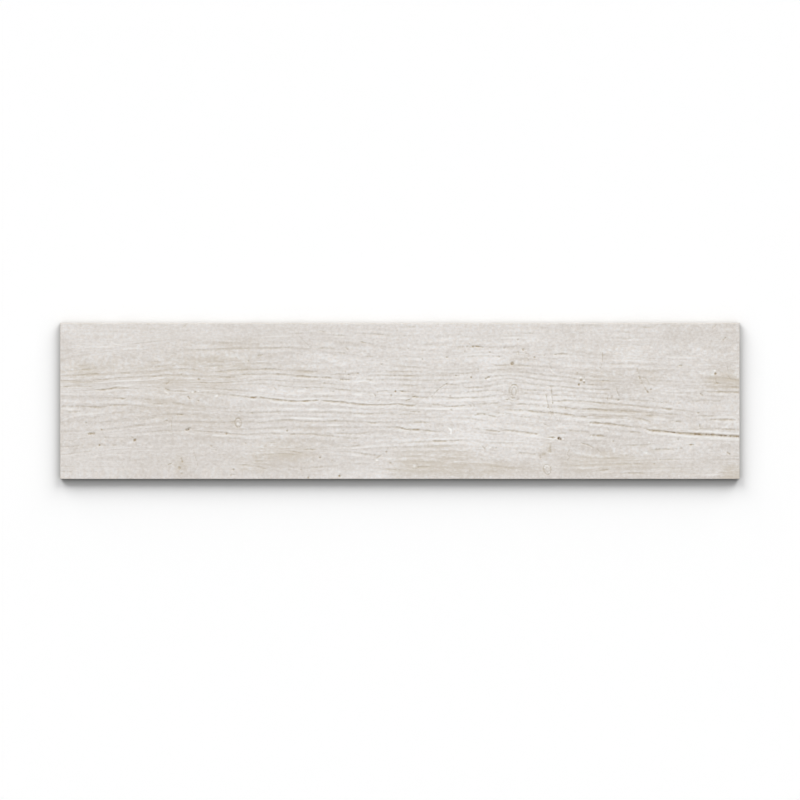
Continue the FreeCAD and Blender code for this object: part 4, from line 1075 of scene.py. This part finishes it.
    out = given["Geometry"]
    for name, value in (("ring", ring), ("darkMark", darkMark), ("paleMark", paleMark)):
        inputs = {"Geometry": out, "Name": name, "Value": value}
        out = addNode(tree, "GeometryNodeStoreNamedAttribute", inputs)
    offset = combine(tree, 0.0, 0.0, drop)
    out = addNode(tree, "GeometryNodeSetPosition", {"Geometry": out, "Offset": offset})
    out = addNode(tree, "GeometryNodeRealizeInstances", {"Geometry": out})
    out = addNode(tree, "GeometryNodeSetMaterial", {"Geometry": out, "Material": given["Body Material"]})
    faceOnly = calc(tree, "GREATER_THAN", attribute("onFace"), 0.999)
    out = addNode(tree, "GeometryNodeSetMaterial",
                  {"Geometry": out, "Selection": faceOnly, "Material": given["Face Material"]})
    plug(tree, out, addNode(tree, "NodeGroupOutput").inputs["Geometry"])
    return tree


# The printed, matt-glazed face

printLook = {
    "coolWhite": shade(231.6, 230.5, 229.6),
    "warmWhite": shade(234.4, 229.5, 225.2),
    "wood": shade(203.2, 196.5, 189.7),
    "stain": shade(195, 185, 170),
    "mark": shade(146, 124, 74),
    "deepMark": shade(92, 70, 38),
    "chip": shade(250, 250, 248),
    "seed": 0.37,
    "bareWood": 0.527,       # share of bare wood that shows through the whitewash
    "fine": 1.35,            # and how much each pattern changes that share
    "streak": 0.8,
    "bands": 0.55,
    "speck": 1.12,
    "cloud": 0.4,
    "rings": 0.35,
    "washes": 0.33,
    "edgeStreaks": 0.40,     # what is left of the streaks by the long edges
    "ringStreaks": 0.55,     # and where the rings stand out
    "edgeRings": 0.6,        # what is left of the rings by the long edges
    "leftSpecks": 1.1,       # the print is coarser on the right
    "rightSpecks": 1.35,
    "stainShare": 0.62,
    "paleShare": 0.75,
    "markShare": 0.68,
    "markPower": 1.55,       # above 1, it holds back the faint marks
    "roughness": 0.62,
}

# A pattern is its scales along, across and up, and then its detail and roughness. The first four
# follow the grain, and the other three lie straight on the face.
grainPatterns = {
    "fine": ((120.0, 520.0, 1.0), 3.0, 0.65),
    "streak": ((14.0, 150.0, 1.0), 3.0, 0.6),
    "bands": ((2.2, 62.0, 1.0), 1.0, 0.5),
    "fleck": ((170.0, 400.0, 5.0), 3.0, 0.7),
}
facePatterns = {
    "cloud": ((11.0, 26.0, 1.0), 3.0, 0.55),
    "speck": ((270.0, 290.0, 250.0), 2.0, 0.6),
    "tint": ((7.0, 20.0, 3.0), 2.0, 0.5),
}


def printedGlaze():
    material = bpy.data.materials.new("printedMattGlaze")
    material.use_nodes = True
    tree = material.node_tree
    shader = tree.nodes["Principled BSDF"]
    place = addNode(tree, "ShaderNodeTexCoord").outputs["Object"]
    split = addNode(tree, "ShaderNodeSeparateXYZ", {0: place})

    def attribute(name):
        return addNode(tree, "ShaderNodeAttribute", attribute_name=name).outputs["Fac"]

    grain = combine(tree, split.outputs[0], attribute("grainLevel"), printLook["seed"])
    fine, streak, bands, fleck = (noise(tree, grain, *pattern) for pattern in grainPatterns.values())
    cloud, speck, tint = (noise(tree, place, *pattern) for pattern in facePatterns.values())

    def centred(value, amount):
        return calc(tree, "MULTIPLY", calc(tree, "SUBTRACT", value, 0.5), amount)

    def grained(share, amount):
        # a share that the specks break up
        return calc(tree, "MULTIPLY", share, calc(tree, "ADD", 1.0, centred(speck, amount)))

    # the streaks are fainter by the long edges and where the rings stand out
    fromMiddle = calc(tree, "ABSOLUTE", split.outputs[1])
    calmer = calc(tree, "MULTIPLY", ramp(tree, fromMiddle, 0.072, 0.098, 1.0, printLook["edgeStreaks"]),
                  ramp(tree, attribute("ringClear"), 0.2, 0.85, 1.0, printLook["ringStreaks"]))
    streaks = calc(tree, "ADD", centred(streak, printLook["streak"]), centred(bands, printLook["bands"]))
    streaks = calc(tree, "ADD", centred(fine, printLook["fine"]), streaks)
    bare = calc(tree, "ADD", printLook["bareWood"], calc(tree, "MULTIPLY", streaks, calmer))
    rougher = ramp(tree, split.outputs[0], -0.3, 0.05, printLook["leftSpecks"], printLook["rightSpecks"])
    bare = calc(tree, "ADD", bare, calc(tree, "MULTIPLY", centred(speck, printLook["speck"]), rougher))
    bare = calc(tree, "ADD", bare, centred(cloud, printLook["cloud"]))
    evener = ramp(tree, fromMiddle, 0.078, 0.1, 1.0, printLook["edgeRings"])
    waves = calc(tree, "MULTIPLY", attribute("ring"), evener)
    bare = calc(tree, "ADD", bare, calc(tree, "MULTIPLY", waves, printLook["rings"]))
    bare = calc(tree, "SUBTRACT", bare, calc(tree, "MULTIPLY", attribute("wash"), printLook["washes"]))
    white = blendColor(tree, ramp(tree, fleck, 0.40, 0.60), printLook["coolWhite"], printLook["warmWhite"])
    color = blendColor(tree, bare, white, printLook["wood"])

    # a stain follows the rings and the streaks, and a faint one lies all over in flecks
    ragged = calc(tree, "ADD", 1.0, calc(tree, "MULTIPLY", attribute("ring"), 0.35))
    for value, amount in ((streak, 3.0), (fine, 3.0)):
        ragged = calc(tree, "ADD", ragged, centred(value, amount))
    ragged = calc(tree, "MULTIPLY", attribute("stain"), ragged)
    for value, amount in ((tint, 0.7), (fleck, 1.6)):
        ragged = calc(tree, "ADD", ragged, centred(value, amount))
    stainShare = ramp(tree, ragged, 0.0, 1.1, 0.0, printLook["stainShare"], "LINEAR")
    color = blendColor(tree, stainShare, color, printLook["stain"])

    # the pale marks, and over them the dark ones
    paleShare = grained(calc(tree, "MULTIPLY", attribute("paleMark"), printLook["paleShare"]), 2.0)
    color = blendColor(tree, paleShare, color, printLook["chip"])
    darkMark = attribute("darkMark")
    darkShare = grained(calc(tree, "POWER", darkMark, printLook["markPower"]), 3.2)
    markColor = blendColor(tree, ramp(tree, darkMark, 0.8, 1.12), printLook["mark"], printLook["deepMark"])
    color = blendColor(tree, calc(tree, "MULTIPLY", darkShare, printLook["markShare"]), color, markColor)
    plug(tree, color, shader.inputs["Base Color"])

    rough = calc(tree, "ADD", printLook["roughness"], centred(fine, 0.25))
    plug(tree, rough, shader.inputs["Roughness"])
    height = calc(tree, "ADD", calc(tree, "MULTIPLY", fine, 0.5), calc(tree, "MULTIPLY", speck, 0.5))
    bump = addNode(tree, "ShaderNodeBump", {"Height": height, "Strength": 0.25, "Distance": 0.08 * mm})
    plug(tree, bump, shader.inputs["Normal"])
    return material


# The bare fired body on the sides, the arrises and the back

bodyLook = {
    "pale": shade(214, 209, 202),
    "warm": shade(192, 185, 175),
    "fleck": shade(150, 138, 122),
    "wash": shade(240, 238, 234),
    "roughness": 0.74,
}

# patterns given as the face's are
bodyPatterns = {
    "cloud": ((40.0, 40.0, 40.0), 4.0, 0.6),
    "grit": ((1400.0, 1400.0, 1400.0), 2.0, 0.7),
    "ground": ((60.0, 60.0, 5200.0), 2.0, 0.6),  # lines left by the grinding
    "wear": ((130.0, 130.0, 130.0), 4.0, 0.7),
}


def firedBody():
    material = bpy.data.materials.new("bareFiredBody")
    material.use_nodes = True
    tree = material.node_tree
    shader = tree.nodes["Principled BSDF"]
    place = addNode(tree, "ShaderNodeTexCoord").outputs["Object"]
    height = addNode(tree, "ShaderNodeSeparateXYZ", {0: place}).outputs[2]
    cloud, grit, ground, wear = (noise(tree, place, *pattern) for pattern in bodyPatterns.values())
    color = blendColor(tree, ramp(tree, cloud, 0.3, 0.7), bodyLook["pale"], bodyLook["warm"])
    color = blendColor(tree, ramp(tree, ground, 0.35, 0.75, 0.0, 0.35), color, bodyLook["warm"])
    color = blendColor(tree, ramp(tree, grit, 0.60, 0.78, 0.0, 0.7), color, bodyLook["fleck"])
    # the white kiln wash stays on the crests of the ribs, worn through in places
    crest = ramp(tree, height, 0.05 * mm, 0.35 * mm, 1.0, 0.0)
    worn = ramp(tree, wear, 0.38, 0.55)
    color = blendColor(tree, calc(tree, "MULTIPLY", crest, worn), color, bodyLook["wash"])
    plug(tree, color, shader.inputs["Base Color"])
    plug(tree, ramp(tree, grit, 0.2, 0.8, bodyLook["roughness"] - 0.08, bodyLook["roughness"] + 0.12),
         shader.inputs["Roughness"])
    rough = calc(tree, "ADD", calc(tree, "MULTIPLY", grit, 0.6), calc(tree, "MULTIPLY", ground, 0.4))
    bump = addNode(tree, "ShaderNodeBump", {"Height": rough, "Strength": 0.35, "Distance": 0.06 * mm})
    plug(tree, bump, shader.inputs["Normal"])
    return material


def buildTile():
    shell = bpy.data.objects.new("tileShell", tileMesh)
    bpy.context.scene.collection.objects.link(shell)
    modifier = shell.modifiers.new("pressedGrain", "NODES")
    modifier.node_group = reliefTree()
    wanted = {"Lines": lineObject, "Bands": bandObject, "Spots": spotObject,
              "Face Material": printedGlaze(), "Body Material": firedBody(), **relief}
    for item in modifier.node_group.interface.items_tree:
        if item.in_out == "INPUT" and item.name in wanted:
            modifier[item.identifier] = wanted[item.name]
    bpy.context.view_layer.update()
    mesh = bpy.data.meshes.new_from_object(shell.evaluated_get(bpy.context.evaluated_depsgraph_get()))
    mesh.name = "grained_tile"
    for helper in (shell, lineObject, bandObject, spotObject):
        bpy.data.objects.remove(helper)
    tile = bpy.data.objects.new("grained_tile", mesh)
    bpy.context.scene.collection.objects.link(tile)
    return tile


tile = buildTile()
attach(tile, "root")
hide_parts("plank_tile")
print("scene: tile dressed, triangles", sum(len(p.vertices) - 2 for p in tile.data.polygons))


# A white table, soft light from beyond the tile's upper long edge, and a camera looking straight down

setting = {
    "tableSize": 6.0,
    "tableBounce": 0.4,      # how much of the light the table sends on to the tile
    "paintedShadeReach": 0.04,    # how far the painted contact shade darkens the table's colour round the tile
    "paintedShadePower": 0.68,
    "paintedFootShadeReach": 0.007,   # and how far the painted shade at the tile's very foot reaches
    "paintedFootShadePower": 0.22,
    "paintedFootShadeEnd": (0.07, 0.114),  # across the tile, where that painted foot shade fades out towards the upper long edge
    "skyLight": 0.24,        # share of the light that comes evenly from all round
    "lampLight": 1.0,
    # pairs of lamps: share, height, degrees to either side of straight beyond the edge, and spread,
    # which sets how soft the shadow is
    "lamps": [(0.80, 20.5, 35.0, 39.4), (0.20, 68.0, 40.0, 58.0)],
    "cameraDistance": 6.55,
    "lens": 200.0,
    "aim": (0.0002, 0.0014),  # the place on the table that the camera stands over
}


def whiteTable():
    # white to the eye, duller for the light that it sends on, and with painted shade in its colour round
    # the tile
    material = bpy.data.materials.new("whiteTable")
    material.use_nodes = True
    tree = material.node_tree
    shader = tree.nodes["Principled BSDF"]
    # painted contact shade: the table's colour is darkened where the tile is near, as its shadow would be
    paintedContactShade = addNode(tree, "ShaderNodeAmbientOcclusion", {"Distance": setting["paintedShadeReach"]},
                       samples=16)
    paintedShadeFactor = calc(tree, "POWER", paintedContactShade.outputs["AO"], setting["paintedShadePower"])
    # more painted shade close round the tile's foot, faded out towards its upper long edge so that it lies
    # below and to the sides
    foot = addNode(tree, "ShaderNodeAmbientOcclusion", {"Distance": setting["paintedFootShadeReach"]}, samples=16)
    place = addNode(tree, "ShaderNodeTexCoord").outputs["Object"]
    place = addNode(tree, "ShaderNodeSeparateXYZ", {0: place})
    power = ramp(tree, place.outputs[1], *setting["paintedFootShadeEnd"], setting["paintedFootShadePower"], 0.0)
    paintedShadeFactor = calc(tree, "MULTIPLY", paintedShadeFactor, calc(tree, "POWER", foot.outputs["AO"], power))
    path = addNode(tree, "ShaderNodeLightPath")
    seen = calc(tree, "MAXIMUM", path.outputs["Is Camera Ray"], path.outputs["Is Glossy Ray"])
    bounce = ramp(tree, seen, 0.0, 1.0, setting["tableBounce"], 1.0, "LINEAR")
    level = calc(tree, "MULTIPLY", paintedShadeFactor, bounce)
    plug(tree, combine(tree, level, level, level), shader.inputs["Base Color"])
    shader.inputs["Roughness"].default_value = 1.0
    shader.inputs["Specular IOR Level"].default_value = 0.0
    return material


def makeTable():
    mesh = bpy.data.meshes.new("table")
    half = setting["tableSize"] / 2
    corners = [(-half, -half, 0), (half, -half, 0), (half, half, 0), (-half, half, 0)]
    mesh.from_pydata(corners, [], [(0, 1, 2, 3)])
    table = bpy.data.objects.new("table", mesh)
    bpy.context.scene.collection.objects.link(table)
    mesh.materials.append(whiteTable())


def makeLight():
    world = bpy.data.worlds.new("softRoom")
    bpy.context.scene.world = world
    world.use_nodes = True
    tree = world.node_tree
    background = tree.nodes["Background"]
    background.inputs["Color"].default_value = (1.0, 1.0, 1.0, 1.0)
    path = addNode(tree, "ShaderNodeLightPath")
    seen = calc(tree, "MAXIMUM", path.outputs["Is Camera Ray"], path.outputs["Is Glossy Ray"])
    strength = ramp(tree, seen, 0.0, 1.0, setting["skyLight"], 1.0, "LINEAR")
    plug(tree, strength, background.inputs["Strength"])
    lampLight = math.pi * setting["lampLight"] * (1 - setting["skyLight"])
    for share, height, aside, spread in setting["lamps"]:
        height = math.radians(height)
        for name, way in (("lampLeft", 1), ("lampRight", -1)):
            lamp = bpy.data.lights.new(name, "SUN")
            lamp.angle = math.radians(spread)
            lamp.energy = lampLight * share / 2 / math.sin(height)
            made = bpy.data.objects.new(name, lamp)
            bpy.context.scene.collection.objects.link(made)
            made.rotation_euler = (height - math.pi / 2, 0.0, math.radians(way * aside))


def makeCamera():
    camera = bpy.data.cameras.new("above")
    camera.lens = setting["lens"]
    camera.sensor_width = 36.0
    camera.clip_end = 50.0
    made = bpy.data.objects.new("above", camera)
    made.location = (*setting["aim"], setting["cameraDistance"])
    bpy.context.scene.collection.objects.link(made)
    bpy.context.scene.camera = made


makeTable()
makeLight()
makeCamera()
bpy.context.scene.view_settings.view_transform = "Standard"
print("scene: set")
